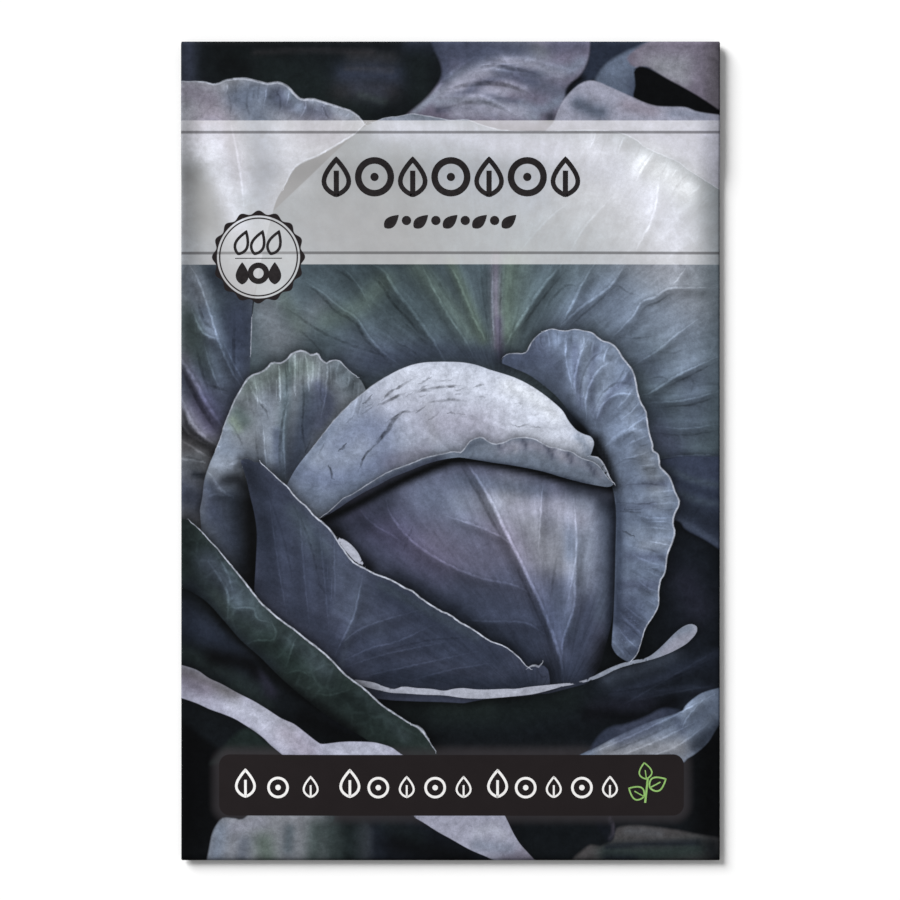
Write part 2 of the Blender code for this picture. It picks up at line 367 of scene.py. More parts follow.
LEFT_RUFFLE_RIM = [(-38.4, -9), (-38, -7), (-37.7, -4.5), (-36.9, -2), (-36, 0), (-35.2, 2), (-34.6, 4), (-33.8, 5.9), (-33, 7.8), (-32, 9.5), (-31.2, 10.8), (-30.3, 11.6), (-29, 12), (-28, 12.7), (-27.3, 13.5), (-26, 13.4), (-25, 14), (-24.3, 14.8), (-23, 15.3), (-22, 15.1), (-21.2, 14.6), (-20.3, 14.9), (-19.8, 14), (-19, 13.4), (-18.3, 13.8), (-17, 13.8), (-16.2, 13), (-15.3, 12.1), (-14.3, 11.4), (-13.5, 10.5), (-12.8, 9)]
CAP_TOP = [(-25, -5.2), (-23.8, -3), (-22.5, -1.2), (-21, 0.6), (-19.5, 2.5), (-18, 4.4), (-16.5, 6), (-15, 7.5), (-13.5, 8.7), (-12, 9.9), (-10, 11.2), (-8, 12.3), (-6, 13.1), (-4, 13.5), (-2, 13.6), (0, 13.6), (2, 13.5), (4, 13.1), (6, 12.4), (8, 11.8), (10, 11.1), (12, 10.1), (14, 8.8), (16, 7.2), (17.2, 6), (18, 4.6), (19.2, 3.2), (20.5, 2.5), (21.4, 2.2), (21.9, 1.3), (21.7, 0.3), (21.3, -0.8)]
CAP_TAIL = [(21.3, -0.8), (22.4, -1), (23.2, -1.8), (23.8, -2.9), (24.3, -4.1), (24.9, -4.9)]
CURL_TOP = [(24.9, -4.9), (23.9, -4), (23, -2.7), (22, -1.8), (20.6, -1.3), (19.6, -0.9), (18.3, -0.1), (17, 0.1), (16, 0.5), (15, 0.6), (13.8, 1.3), (12.5, 1.9), (11, 2.05), (9.5, 1.9), (8, 1.2), (6.5, 1.1), (5.5, 1.6), (4.5, 2.1), (3, 1.5), (2.3, 0.6), (1.5, -0.3), (0.6, -0.1), (-1, -0.4), (-4, -1.1), (-6.5, -2.1), (-9.5, -3.2), (-12, -4.7), (-15, -6.6), (-16.5, -7.3), (-18, -8.8), (-19.8, -10.1)]
CURL_UNDER = [(-19.8, -10.3), (-18.8, -9.8), (-17, -8.7), (-15.4, -7.6), (-13, -6.2), (-11, -5.2), (-9, -4.1), (-6, -2.9), (-4, -2.1), (-2, -1.5), (0, -1.1), (1.5, -1), (3, -1.2), (6, -1.7), (10, -2.3), (14, -3.1), (17, -4), (20, -4.8), (22, -5.2), (24, -5.5), (24.9, -5.2)]
RIGHT_RUFFLE_RIM = [(7.8, 13.6), (8.1, 14.4), (8.7, 14.8), (10, 14.9), (11.5, 15), (12.2, 16.3), (13.2, 17.6), (14.3, 18.3), (15.5, 18.6), (17.5, 18.3), (19, 18.6), (20.5, 18.3), (21.5, 18.1), (22.5, 17.3), (23.3, 16.8), (24.5, 16.4), (25.5, 15.5), (26.3, 14.2), (27.3, 13), (27.9, 12), (28.3, 10.5), (28.6, 8.8), (29.1, 7.3), (29.8, 6.1), (30.1, 4.3), (30.4, 2.5), (30.9, 0.8), (30.8, 0.1), (31.6, -0.4), (31.9, -1.3), (32, -2.4), (33.2, -3.6), (33.8, -4.7), (34.3, -6.2), (34.9, -7.4), (34.9, -8.3), (34.2, -9.8), (34, -11.2), (34.3, -12.5), (33.8, -14.2), (33.1, -16), (32.8, -18.6), (32.1, -19.7), (31.8, -21.5), (31.8, -23.5), (31, -25.2), (29.8, -27), (29.2, -29), (28.5, -31), (27.5, -32.2), (26.5, -31.9), (25.3, -31), (24.6, -29.8)]
RIGHT_RUFFLE_INNER = [(24.6, -29.8), (24.9, -25), (25.1, -20), (25.2, -15), (25.3, -10), (25.1, -7.5), (24.6, -5), (23.9, -2.8), (22.9, -0.8), (21.7, 1.5), (20.5, 3.5), (18.5, 5.5), (16.5, 8), (14.5, 9.8), (12, 11.6), (9.5, 12.7), (7.8, 13.4)]
HEAD_SIDE = [(24.9, -5), (25.2, -8), (25.4, -11), (25.3, -15), (25.1, -20), (24.9, -24), (24.4, -27), (23.6, -30), (22.7, -33), (20.8, -35.5)]
FRONT_LEAF_RIM = [(-32.2, -1.3), (-31, -1.2), (-30, -1.7), (-29, -1.8), (-28, -2.7), (-27, -3.6), (-26, -4.6), (-25, -5.4), (-24, -6.7), (-23, -7.7), (-22, -8.5), (-21, -9.7), (-20, -10.6), (-19, -11.4), (-18, -12.5), (-17.3, -13.7), (-16.4, -15), (-15.3, -16.5), (-14.2, -17.4), (-13, -18), (-11.5, -18.8), (-10, -19.3), (-8.5, -20), (-7, -20.9), (-5.8, -21.4), (-4.5, -22.5), (-3, -23.5), (-1.5, -24.4), (0, -25.1), (1.5, -26.2), (3, -27), (4.5, -28), (6, -29), (8, -29.7), (9.5, -30.7), (10.7, -31.8), (11.5, -32.8), (12.1, -33.1), (13, -32.8), (14, -32.7), (14.8, -33.3), (15.1, -34.5), (15.2, -36)]
GREEN_LEAF_RIM = [(-42, -10.3), (-40, -10.7), (-38.5, -12), (-37, -13.6), (-35.5, -15.2), (-34, -17), (-32.5, -18.8), (-31.3, -20.3), (-30.2, -21.7), (-29, -23.2), (-28, -24.1), (-26, -25.8), (-24, -27.2), (-22, -28.8), (-20, -30.3), (-18.5, -31.6), (-17.3, -32.9), (-16, -34.2), (-15, -35), (-13.3, -36.2), (-12, -37.4), (-10.5, -38.8), (-9, -39.8), (-7.5, -40.8), (-6, -41.7), (-5, -42.2), (-4.2, -43), (-3.3, -44.3), (-2.3, -45.8), (-1.6, -47.2)]
BOWL_RIM_TOP = [(-15.2, -34.8), (-13, -35.1), (-11.5, -35.4), (-10, -36), (-8.5, -36.3), (-7.5, -36), (-6.5, -36), (-5, -36.2), (-3, -36.3), (-1, -36.6), (0.5, -36.3), (2, -36.2), (4, -36.4), (6, -36.4), (8.5, -36.3), (10, -36.3), (12, -36), (14, -35.8), (16, -35.6), (18, -35.4), (20, -35.1), (22, -34.3), (24, -33.3), (26, -32.5), (28, -32), (30, -31.6), (31.5, -30.6), (33, -29.2), (34.3, -27.9), (35.6, -26.9), (36.8, -26.5), (37.7, -26.9), (37.7, -27.8), (37, -28.7)]
BOWL_RIM_UNDER = [(37, -28.7), (36, -29.6), (34, -30.7), (32, -31.5), (30, -32.1), (27, -32.8), (25, -33.5), (23, -34.5), (20.5, -35.3), (17, -36), (14, -36.8), (12, -37.2), (8, -37.6), (5, -37.8), (2, -37.7), (-1, -37.3), (-4, -37.2), (-7, -37), (-9, -36.9), (-11, -36.5), (-13, -36), (-15.2, -35.2)]
PALE_LEAF_TOP = [(-42, -32.6), (-39, -33.5), (-37, -34.8), (-35, -35.7), (-33, -36.8), (-31, -37.8), (-30, -38.3), (-28, -39.5), (-26, -40.8), (-24, -41.7), (-22.5, -42.8), (-21, -44), (-20, -44.7), (-19.5, -44.8), (-17, -44.5), (-15, -44.4), (-12, -44.5), (-10.5, -44.8), (-9, -45.3), (-8, -46), (-6.5, -47)]
PALE_LEAF_UNDER = [(-24.8, -47.2), (-26.3, -46), (-27.5, -45), (-28.5, -44), (-29.5, -43.2), (-31, -42.2), (-33, -41), (-35, -40.2), (-37, -39.5), (-39, -38.6), (-42, -37.6)]


def picture_leaves():
    """The leaves from the farthest to the nearest."""
    leaves = []

    def add(name, tone, *runs, **more):
        leaves.append(Leaf(name, tone, *runs, **more))
        return leaves[-1]

    ground = add("ground", "coal", [(-44, -65), (44, -65)], [(44, 65), (-44, 65)], gain=0.91)
    ground.stroke("dusk", 1.6, 0.8, (-40.2, 64), (-40.2, 57)).stroke("night", 3, 0.6, (-34, 62), (-26, 62))
    ground.stroke("pine", 5, 0.8, (-32, 58), (-22, 56), (-16, 53)).stroke("indigo", 2, 0.85, (-16, 57.6), (-12, 58), (-8.6, 57.4))
    ground.stroke("bark", 1.6, 0.5, (-17, 55), (-12, 55.2), (-9, 55)).stroke("brown", 1.2, 0.35, (-15, 60.4), (-9, 60.2))
    ground.stroke("indigo", 1.6, 0.6, (-6, 62.5), (-1, 62.5)).stroke("pine", 2.2, 0.6, (-5, 59), (-4.6, 54))
    ground.stroke("bark", 0.5, 0.5, (-30, 61), (-22, 61.4), (-12, 61)).stroke("dusk", 1.6, 0.45, (-14, 55.4), (-11, 54.8)).stroke("night", 2.4, 0.6, (-34, 59), (-32, 58.4)).stroke("fern", 0.5, 0.3, (-14, 54.6), (-10, 53.4)).stroke("brown", 0.4, 0.4, (-16, 58.6), (-9, 58.2))
    ground.stroke("soot", 6, 0.9, (36, -16), (38, -30)).stroke("plum", 2.5, 0.25, (36, -20), (38, -24))
    ground.stroke("night", 9, 1, (-38, -44), (-40, -56)).stroke("night", 3, 0.9, (39.5, -46), (39.5, -58))

    crumpled = add("crumpled_leaf", "dove", [(-3.6, 64), (-2.4, 61.3), (-1.6, 59.6), (-1.3, 58), (-1.7, 56.6), (-2.8, 55), (-4.2, 53.5), (-5.8, 52.2), (-7.3, 51)], [(-7.5, 48), (14, 48), (15.8, 50.6), (17, 53), (17.6, 54.3), (17.7, 55.4), (18.5, 56.4), (19.8, 57.4), (20.7, 58.8), (21.3, 60.8), (21.6, 64)], soft=0.35, gain=0.95)
    for tone, radius, strength, points in (
        ("indigo", 2.4, 0.8, ((-4, 63), (0, 62.5), (4, 63))), ("ash", 1.6, 0.8, ((6, 62), (10, 62.3), (14, 61))),
        ("haze", 1.1, 0.8, ((0, 57), (4, 58.8), (8, 58.6), (12, 59.8))), ("lilac", 0.9, 0.7, ((1, 56.4), (4, 57.8), (8, 57), (9, 56))),
        ("slate", 1.0, 0.8, ((3, 60.5), (7, 60.3), (10, 61))), ("indigo", 0.6, 0.6, ((6.5, 58.3), (10, 57.8), (14, 57.8))),
        ("haze", 1.2, 0.7, ((14, 58.5), (18, 58.3), (20, 59.5))), ("violet", 1.6, 0.7, ((16, 62), (20, 62.5))),
        ("lilac", 0.8, 0.7, ((0, 55.2), (4, 56), (8, 54.6))), ("indigo", 0.5, 0.7, ((-1, 54.5), (4, 54.9), (8, 53.8), (10.5, 53.4))),
        ("mist", 0.8, 0.8, ((-2, 53.4), (4, 53.6), (9, 52.4), (13, 51))), ("indigo", 0.4, 0.6, ((-2, 52.2), (3, 52.4), (7, 51.3))),
        ("slate", 1.8, 0.6, ((12, 56.5), (15, 55.5), (17, 54.6))), ("haze", 0.9, 0.7, ((11, 53), (14, 52.3), (16.5, 53.5))),
        ("mist", 0.7, 0.8, ((-5.5, 52), (-3, 54), (-1, 55.5))), ("soot", 0.7, 0.6, ((15.4, 51.5), (15.2, 50.6))),
        ("indigo", 1.6, 0.8, ((-3, 62), (-1, 59.6), (-1.4, 57.4))), ("dusk", 2.2, 0.75, ((0, 62.4), (2, 60.2), (5, 62))), ("dusk", 1.4, 0.5, ((5, 61.4), (8, 61.8))),
        ("lilac", 1.3, 0.7, ((-1, 54.6), (3, 57.2), (7.4, 59.4), (12, 59.4))), ("lilac", 0.9, 0.6, ((1, 52.6), (6, 55.2), (11, 55.2))), ("dusk", 0.6, 0.6, ((3, 55.6), (8, 57.2), (13, 56.4))),
        ("lilac", 1.4, 0.8, ((1, 51.6), (5, 52), (10.6, 51.8))), ("dusk", 2.0, 0.65, ((2, 61.8), (11, 61.8))),
        ("lilac", 0.8, 0.6, ((8, 59.6), (13, 58.8), (17, 57.6))), ("dusk", 0.5, 0.6, ((8, 58.9), (13, 57.9))),
    ):
        crumpled.stroke(tone, radius, strength, *points)

    add("gap_behind", "navy", [(21.4, 64), (21.3, 60.8), (20.7, 58.8), (19.6, 57.2), (18.4, 56.3), (17.6, 55), (17.8, 54.2), (19.5, 55.6), (22, 57)], [(34, 57), (34, 64)], soft=0.3, gain=0.94).stroke("night", 0.6, 0.9, (18.1, 55), (18.9, 56.4), (19.9, 57))
    add("steel_leaf", "slate", [(22, 56.6), (23.2, 58.6), (24.8, 60), (27, 61.2), (30, 62.6), (32, 64), (36, 64), (29, 58), (28.4, 54), (26, 54.6), (24, 55.4)], soft=0.4).stroke("steel", 1.4, 0.7, (25, 58), (27.4, 60)).stroke("indigo", 1.2, 0.6, (28.3, 56), (28.2, 54.5))
    corner = add("corner_leaf", "mauve", [(26.9, 60.2), (28.5, 61.6), (30.2, 62.6), (31.5, 64)], [(43, 64), (43, 51.4), (39, 53.6), (36, 55.3), (33, 57), (31.5, 58), (30, 58.9), (28.6, 58.7), (27.6, 59.1)], soft=0.3)
    corner.stroke("grey", 2.4, 0.8, (31, 60), (35, 59)).stroke("mauve", 1.8, 0.5, (30.6, 61.5), (34, 62)).stroke("grey", 1, 0.6, (32, 58.5), (36, 56.6)).stroke("brown", 1.8, 0.5, (40.6, 61), (40.6, 53))
    add("corner_gap", "night", [(28, 58.4), (29.2, 58.9), (31, 58.2), (33.5, 56.8), (37, 54.9), (42, 51.7)], [(42, 51.2), (39, 51.8), (36, 52.6), (33, 52.8), (31.8, 52.8), (29.5, 53.4), (28, 54.1), (28.3, 56)], soft=0.2, gain=1.1)
    lobe = add("lobe_leaf", "lilac", [(16.4, 52), (17.2, 53.6), (18.6, 55.2), (20, 56.3), (21.3, 56.7), (22.6, 56.5), (24, 55.9), (26, 55), (28, 54.1), (29.5, 53.4), (31.5, 52.8), (33.5, 52.7), (36, 52.6), (38, 51.9), (43, 51.2)], [(43, 37), (20, 40), (14, 47), (15.8, 50.4)], soft=0.18, gain=0.91)
    lobe.stroke("slate", 1.3, 0.85, (19.5, 53.2), (21.5, 52.2), (23, 51.8)).stroke("rose", 1.2, 0.5, (27, 53), (31, 52)).stroke("steel", 0.8, 0.4, (34, 51.6), (39, 51.4)).stroke("lilac", 1.6, 0.5, (28, 49.6), (40, 49.4))
    lobe.stroke("snow", 2.8, 0.9, (30, 44.6), (36, 41.6)).stroke("frost", 0.6, 0.5, (30, 46.8), (36, 43.6))

    back = add("back_leaf", "teal", BACK_RIM, [(42, 6), (42, -0.7), (36, -0.8), (31, -1.4)], [(20, -6), (-30, -4), (-31, 14), (-28, 36)], soft=0.12, shade=0.15, reach=1.5, fan=(7.5, 8), net=0.13)
    for tone, radius, strength, points in (
        ("pine", 8, 0.45, ((-18, 40), (-14, 36), (-9, 37))), ("soot", 5, 0.3, ((-19, 33), (-10, 32))),
        ("pine", 6, 0.35, ((-12, 26), (-6, 22), (-6, 30))),
        ("grey", 9, 0.85, ((21, 42), (27, 38), (32, 31))), ("grey", 5, 0.7, ((33, 27), (36, 22))), ("haze", 5, 0.7, ((28, 22), (35, 18), (36, 14))),
        ("grey", 3, 0.45, ((8, 47), (16, 47), (24, 46))), ("steel", 4, 0.6, ((24, 24), (26, 17))), ("steel", 3, 0.7, ((17, 18), (20, 22))), ("slate", 2.2, 0.75, ((-17, 12.4), (-14.4, 14), (-11, 14.4))),
        ("ash", 3.5, 0.8, ((-28, 22), (-26.5, 17))), ("ash", 2, 0.45, ((-24, 18), (-20, 22))), ("slate", 4, 0.5, ((-14, 16), (-8, 14.5))),
        ("indigo", 2.2, 0.6, ((-12, 13), (-4, 15), (4, 14.6), (8, 14))), ("indigo", 3, 0.5, ((31, 6), (32, 1))), ("slate", 3, 0.6, ((37, 4), (37, 10))), ("dusk", 2.2, 0.7, ((32, 2.4), (34, 0.6))), ("slate", 2.2, 0.6, ((29.6, 13.6), (31.4, 12))),
        ("olive", 1.5, 0.3, ((9, 29), (8.6, 24), (8.2, 18))), ("fern", 2.0, 0.35, ((11, 29), (10, 22), (8.6, 17))), ("olive", 0.9, 0.3, ((0, 29), (2.2, 24), (5, 17))),
        ("fern", 1.6, 0.5, ((-5, 28), (0, 22), (3, 18))), ("fern", 1.8, 0.45, ((-19, 20), (-14, 22), (-10, 26))), ("fern", 1.4, 0.4, ((-26, 24), (-23, 19))),
        ("mauve", 0.7, 0.75, ((6.9, 30), (6.9, 23), (7.2, 16))), ("plum", 0.6, 0.5, ((7.4, 20), (7.6, 14.5))),
        ("indigo", 0.8, 0.45, ((41, -1), (34, -0.6))),
        ("lilac", 3, 0.75, ((-10, 49.5), (0, 48.6), (8, 47), (16, 46))), ("pale", 4, 0.8, ((22, 45), (27, 42), (32, 37), (34, 33))), ("snow", 2.4, 0.8, ((30, 43.6), (34, 42), (36, 40))), ("grey", 2.6, 0.75, ((-23.6, 41.6), (-20.6, 45))), ("steel", 4, 0.5, ((0, 42), (12, 40))),
    ):
        back.stroke(tone, radius, strength, *points)

    first = add("first_leaf", "grey", FIRST_RIM, FIRST_SIDE, [(-30.8, 8), (-32, -2), (-38, -12), (-44, -12), (-44, 56)], soft=0.1, shade=0.1, reach=1, net=0.12)
    for tone, radius, strength, points in (
        ("slate", 2.2, 0.75, ((-33, 54), (-30, 55), (-27, 54))), ("mauve", 1.8, 0.6, ((-40, 55), (-37, 54))), ("dusk", 1.8, 0.7, ((-26, 54.5), (-24.5, 53), (-20, 52))),
        ("steel", 2.2, 0.6, ((-31, 53), (-30, 52))), ("haze", 0.9, 0.8, ((-24.6, 54.8), (-23, 52.4))), ("mist", 0.8, 0.7, ((-21, 53.4), (-18, 52.2), (-15.4, 51.4))),
        ("violet", 0.6, 0.4, ((-19.5, 52.8), (-18.6, 51.4))),
        ("rose", 3, 0.8, ((-36.4, 50), (-35.4, 45), (-34, 39))), ("lilac", 2.2, 0.8, ((-36.5, 49), (-34.4, 42), (-32, 35))), ("slate", 2.6, 0.8, ((-29, 49), (-28.4, 44), (-29.4, 38))),
        ("pine", 3.2, 0.9, ((-38.6, 42), (-37.2, 38), (-37.6, 35))), ("mauve", 2.6, 0.5, ((-22, 49), (-18, 48.6))), ("frost", 2.6, 0.7, ((-37, 46), (-34, 40), (-32, 37))), ("pale", 3, 0.5, ((-26, 48), (-24, 44))), ("teal", 2, 0.5, ((-31, 38), (-29.4, 34))),
        ("teal", 5, 0.95, ((-37, 28), (-35, 22), (-34, 14))), ("soot", 4, 0.75, ((-36, 26.5), (-32.4, 24), (-32, 17))), ("indigo", 3.4, 0.8, ((-32.6, 20), (-32.4, 12), (-33, 8))),
        ("moss", 3, 0.75, ((-40, 20), (-39, 15), (-38.4, 12))), ("steel", 1.3, 0.8, ((-39.4, 26), (-37.6, 21), (-36.2, 18))), ("haze", 0.8, 0.7, ((-37, 20), (-36.4, 17.6))),
        ("slate", 1.6, 0.6, ((-36.2, 16), (-34.8, 11))), ("indigo", 3, 0.85, ((-40, 11), (-37, 7.6), (-35.5, 5))), ("plum", 2.4, 0.6, ((-38.4, 7), (-36.8, 4))),
        ("night", 1.3, 0.8, ((-41.4, 3.2), (-38, 1), (-36.4, -0.2))), ("brown", 2.6, 0.7, ((-40.6, 0.4), (-38.4, -1.4))), ("ash", 1.4, 0.6, ((-40.4, -2.4), (-38.4, -1.6))), ("ash", 1.6, 0.6, ((-40, -1.6), (-38.4, -3))),
        ("indigo", 3, 0.8, ((-41, -6.5), (-38.6, -7.5))), ("soot", 0.6, 0.8, ((-39.2, -3.6), (-37.8, -3.8))), ("mauve", 1.2, 0.35, ((-41, 14), (-39, 10))), ("ash", 1.7, 0.7, ((-40, 28), (-38.4, 23.6))),
    ):
        first.stroke(tone, radius, strength, *points)

    streaked = add("streaked_leaf", "indigo", [(42, -0.9), (36, -0.8), (33, -1.2), (30, -1.5)], [(28, -10), (34.5, -10.6), (36, -12), (39, -13.6), (42, -15.6)], soft=0.25, shade=0.3, reach=1, gain=1.09)
    streaked.stroke("soot", 2.2, 0.7, (36, -9), (41, -11.4)).stroke("teal", 0.5, 0.5, (33, -2.6), (37, -4.4), (42, -5.4)).stroke("teal", 0.5, 0.4, (35, -6.4), (38, -7.6), (42, -8.2)).stroke("navy", 0.6, 0.6, (34, -4.2), (38, -6), (42, -7)).stroke("slate", 0.5, 0.4, (35, -10.6), (38, -12.4), (42, -14.6)).stroke("soot", 1.2, 0.6, (31.6, -1.8), (33.4, -4))

    ruffled = add("left_ruffled_leaf", "ash", LEFT_RUFFLE_RIM, [(-13, 6), (-22, -6), (-28, -22), (-34, -23), (-38, -14)], soft=0.1, shade=0.55, reach=1.3, gain=1.05)
    ruffled.ruffle(LEFT_RUFFLE_RIM[7:], 3.1, 0.10, 7, lean=0.08)
    for tone, radius, strength, points in (
        ("ash", 3, 0.8, ((-33, 6), (-31.4, 9), (-28, 11))), ("haze", 1.8, 0.35, ((-28, 8), (-28, 2), (-28, -3))), ("ash", 1.5, 0.6, ((-31.4, 3), (-29.4, -1))),
        ("teal", 1.0, 0.8, ((-24.6, 13), (-25.2, 7), (-25.6, 1), (-25.6, -4))), ("indigo", 0.7, 0.65, ((-26.6, 3), (-26.6, -3))), ("teal", 1.2, 0.75, ((-22, 9), (-22.6, 3), (-23.4, -1.6))),
        ("ash", 0.8, 0.5, ((-23.6, 14), (-24, 9))), ("ash", 1.2, 0.6, ((-21.4, 13), (-20.8, 10))), ("fern", 2.0, 0.45, ((-31, 10), (-27, 12), (-22, 13))), ("indigo", 2.4, 0.75, ((-20, 7.5), (-22.6, 2), (-24.2, -3))), ("teal", 2, 0.5, ((-17, 12.6), (-15, 10))),
        ("dusk", 0.9, 0.7, ((-20.2, 10), (-18.4, 7), (-20, 4))), ("sage", 1.3, 0.8, ((-32.6, 5.8), (-31.6, 4.6))), ("olive", 0.8, 0.5, ((-33.4, 4.6), (-32.6, 3.4))), ("haze", 1.6, 0.7, ((-34.6, 0.2), (-31, -1.2), (-28, -1.6))), ("haze", 2, 0.5, ((-34.4, 3), (-35.4, 0.5))),
        ("mist", 1.6, 0.75, ((-36.2, -1.6), (-34, -2.6), (-32.4, -1.8))), ("night", 1.1, 0.7, ((-34.6, -4.6), (-32.8, -4.4), (-31.4, -5.6))),
        ("dusk", 1.8, 0.7, ((-37, -6), (-36.4, -10))), ("slate", 0.9, 0.6, ((-37.4, -5), (-35.8, -7), (-33.6, -6.8))), ("soot", 3.4, 0.9, ((-33, -8), (-32.4, -14), (-31, -20))),
        ("night", 1.7, 0.9, ((-30.6, -8), (-30.3, -13), (-30, -20))), ("slate", 2, 0.5, ((-37.4, -11), (-35, -15))), ("indigo", 1.6, 0.5, ((-36, -9), (-34, -14))),
    ):
        ruffled.stroke(tone, radius, strength, *points)

    bowl = add("bowl_leaf", "soot", [(-16, -35), (6, -37), (24, -33.6), (33, -30.8), (37.4, -28.4), (38.5, -29.6), (42, -30.2)], [(42, -36), (34, -47), (-12, -48), (-20, -40)], soft=0.3, shade=0.2, reach=1, gain=0.84)
    bowl.stroke("pine", 4, 0.9, (-6, -40), (8, -40), (18, -38)).stroke("coal", 3, 0.8, (-4, -44), (10, -45), (24, -42)).stroke("indigo", 0.7, 0.6, (25, -37), (33, -34.6), (41, -31))
    bowl.stroke("plum", 1.6, 0.25, (22, -39.6), (30, -38.8)).stroke("indigo", 0.5, 0.5, (28, -37.6), (35, -36.4), (40, -36.2)).stroke("night", 1.2, 0.6, (21, -40), (29, -40.6), (34, -38.4))
    bowl.stroke("slate", 1.5, 0.75, (24, -34.6), (30, -32.6), (34, -31.4)).stroke("moss", 2.4, 0.7, (-1, -39), (5, -38.6)).stroke("bark", 1.2, 0.6, (-6, -46), (8, -46.2), (20, -46)).stroke("navy", 1, 0.5, (34, -33), (40, -32.6))

    right_low = add("right_low_leaf", "steel", [(19.4, -46.6), (22, -45.4), (25, -43.8), (28, -42.3), (31, -41.2), (33, -40.6), (35.5, -39.8), (36, -39), (37.5, -37.7), (39, -36.9), (42, -36.1)], [(42, -40.6), (40.5, -43), (39.5, -44.6), (38, -46), (36.3, -47.1), (34, -48), (20, -48)], soft=0.15)
    right_low.stroke("grey", 2.2, 0.9, (24, -46.4), (30, -45.8), (35, -45.6)).stroke("dusk", 1.2, 0.6, (31, -41.8), (26, -44)).stroke("haze", 0.9, 0.7, (36, -40), (39, -38)).stroke("haze", 0.5, 0.6, (37, -43.6), (40.6, -40.4)).stroke("slate", 1.4, 0.5, (40, -39), (37.4, -42)).stroke("indigo", 0.6, 0.5, (34.4, -41), (35.6, -43)).stroke("soot", 1.6, 0.7, (38, -45), (41, -42.6))
    add("right_dim_leaf", "indigo", [(21, -46), (22.6, -43.6), (24.4, -42.2), (27, -41.7), (30, -40.6), (32.4, -39.4), (34.6, -39.6), (35.4, -40)], [(31, -41.3), (25, -43.9)], soft=0.35, gain=0.9).stroke("dusk", 0.8, 0.7, (26, -42.6), (32, -40.2))

    head = add("head_leaf", "violet", [(-21, -10), (-10, -2), (2, 1), (16, 0), (24.9, -4)], HEAD_SIDE, [(15, -37), (6, -37), (-12, -30), (-21, -16)], soft=0.12, fan=(17, -38), net=0.10)
    for tone, radius, strength, points in (
        ("navy", 5, 0.55, ((-18, -13), (-12, -15), (-8, -20))), ("plum", 3.6, 0.5, ((-14, -10), (-8, -13), (-2, -18))), ("steel", 4, 0.55, ((-3, -7), (2, -9))), ("mauve", 3.6, 0.6, ((6, -9), (10, -14), (13, -18))),
        ("grey", 3.4, 0.75, ((9, -7), (13, -12), (15, -17))), ("mist", 3.2, 0.75, ((20, -9), (20.6, -14), (19.6, -20))), ("grey", 1.6, 0.5, ((16.5, -9), (16.8, -18))),
        ("steel", 1.0, 0.6, ((18.2, -10), (18.2, -16))), ("mauve", 4, 0.4, ((-2, -14), (4, -19))), ("indigo", 5, 0.85, ((-4, -24), (4, -27), (11, -31))), ("navy", 3, 0.8, ((6, -31), (13, -34), (20, -34.6))),
        ("indigo", 2.4, 0.7, ((21.5, -24), (20, -29), (19, -33))), ("steel", 1.6, 0.6, ((16.5, -22), (18, -27))), ("slate", 1.4, 0.8, ((23.6, -9), (24, -16), (23, -25))), ("navy", 0.9, 0.9, ((25, -8), (25, -18), (24.4, -28))),
        ("night", 0.85, 1.0, ((-19, -10.4), (-14, -8), (-8, -4.8), (-2, -2.2), (2, -1.3), (10, -2.4), (18, -4.4), (24.6, -5.6))), ("soot", 2.2, 0.5, ((-19, -12), (-14, -11), (-10, -8))),
        ("night", 1.2, 0.7, ((-17.6, -12.4), (-15, -15.2), (-12.6, -17.6))), ("soot", 1.6, 0.6, ((-8, -20), (2, -25.6), (9, -30))), ("night", 1.8, 0.8, ((22.6, -33), (23.8, -30))),
        ("mist", 2.4, 0.45, ((2, -7.6), (6, -8.4))), ("soot", 1.5, 0.55, ((18.6, -5.6), (22, -6.4), (24, -8.4))), ("lilac", 1.9, 0.75, ((10.5, -8.8), (15, -8.4), (19.6, -10.4))), ("slate", 1.3, 0.6, ((1, -4.4), (8, -5.2), (14, -6))), ("navy", 4.0, 0.55, ((3, -21.6), (9, -23.6), (13, -27))),
        ("indigo", 3.2, 0.55, ((15, -24.6), (18, -28.4))), ("dusk", 2.6, 0.5, ((9, -19.6), (18, -20.8))),
    ):
        head.stroke(tone, radius, strength, *points)

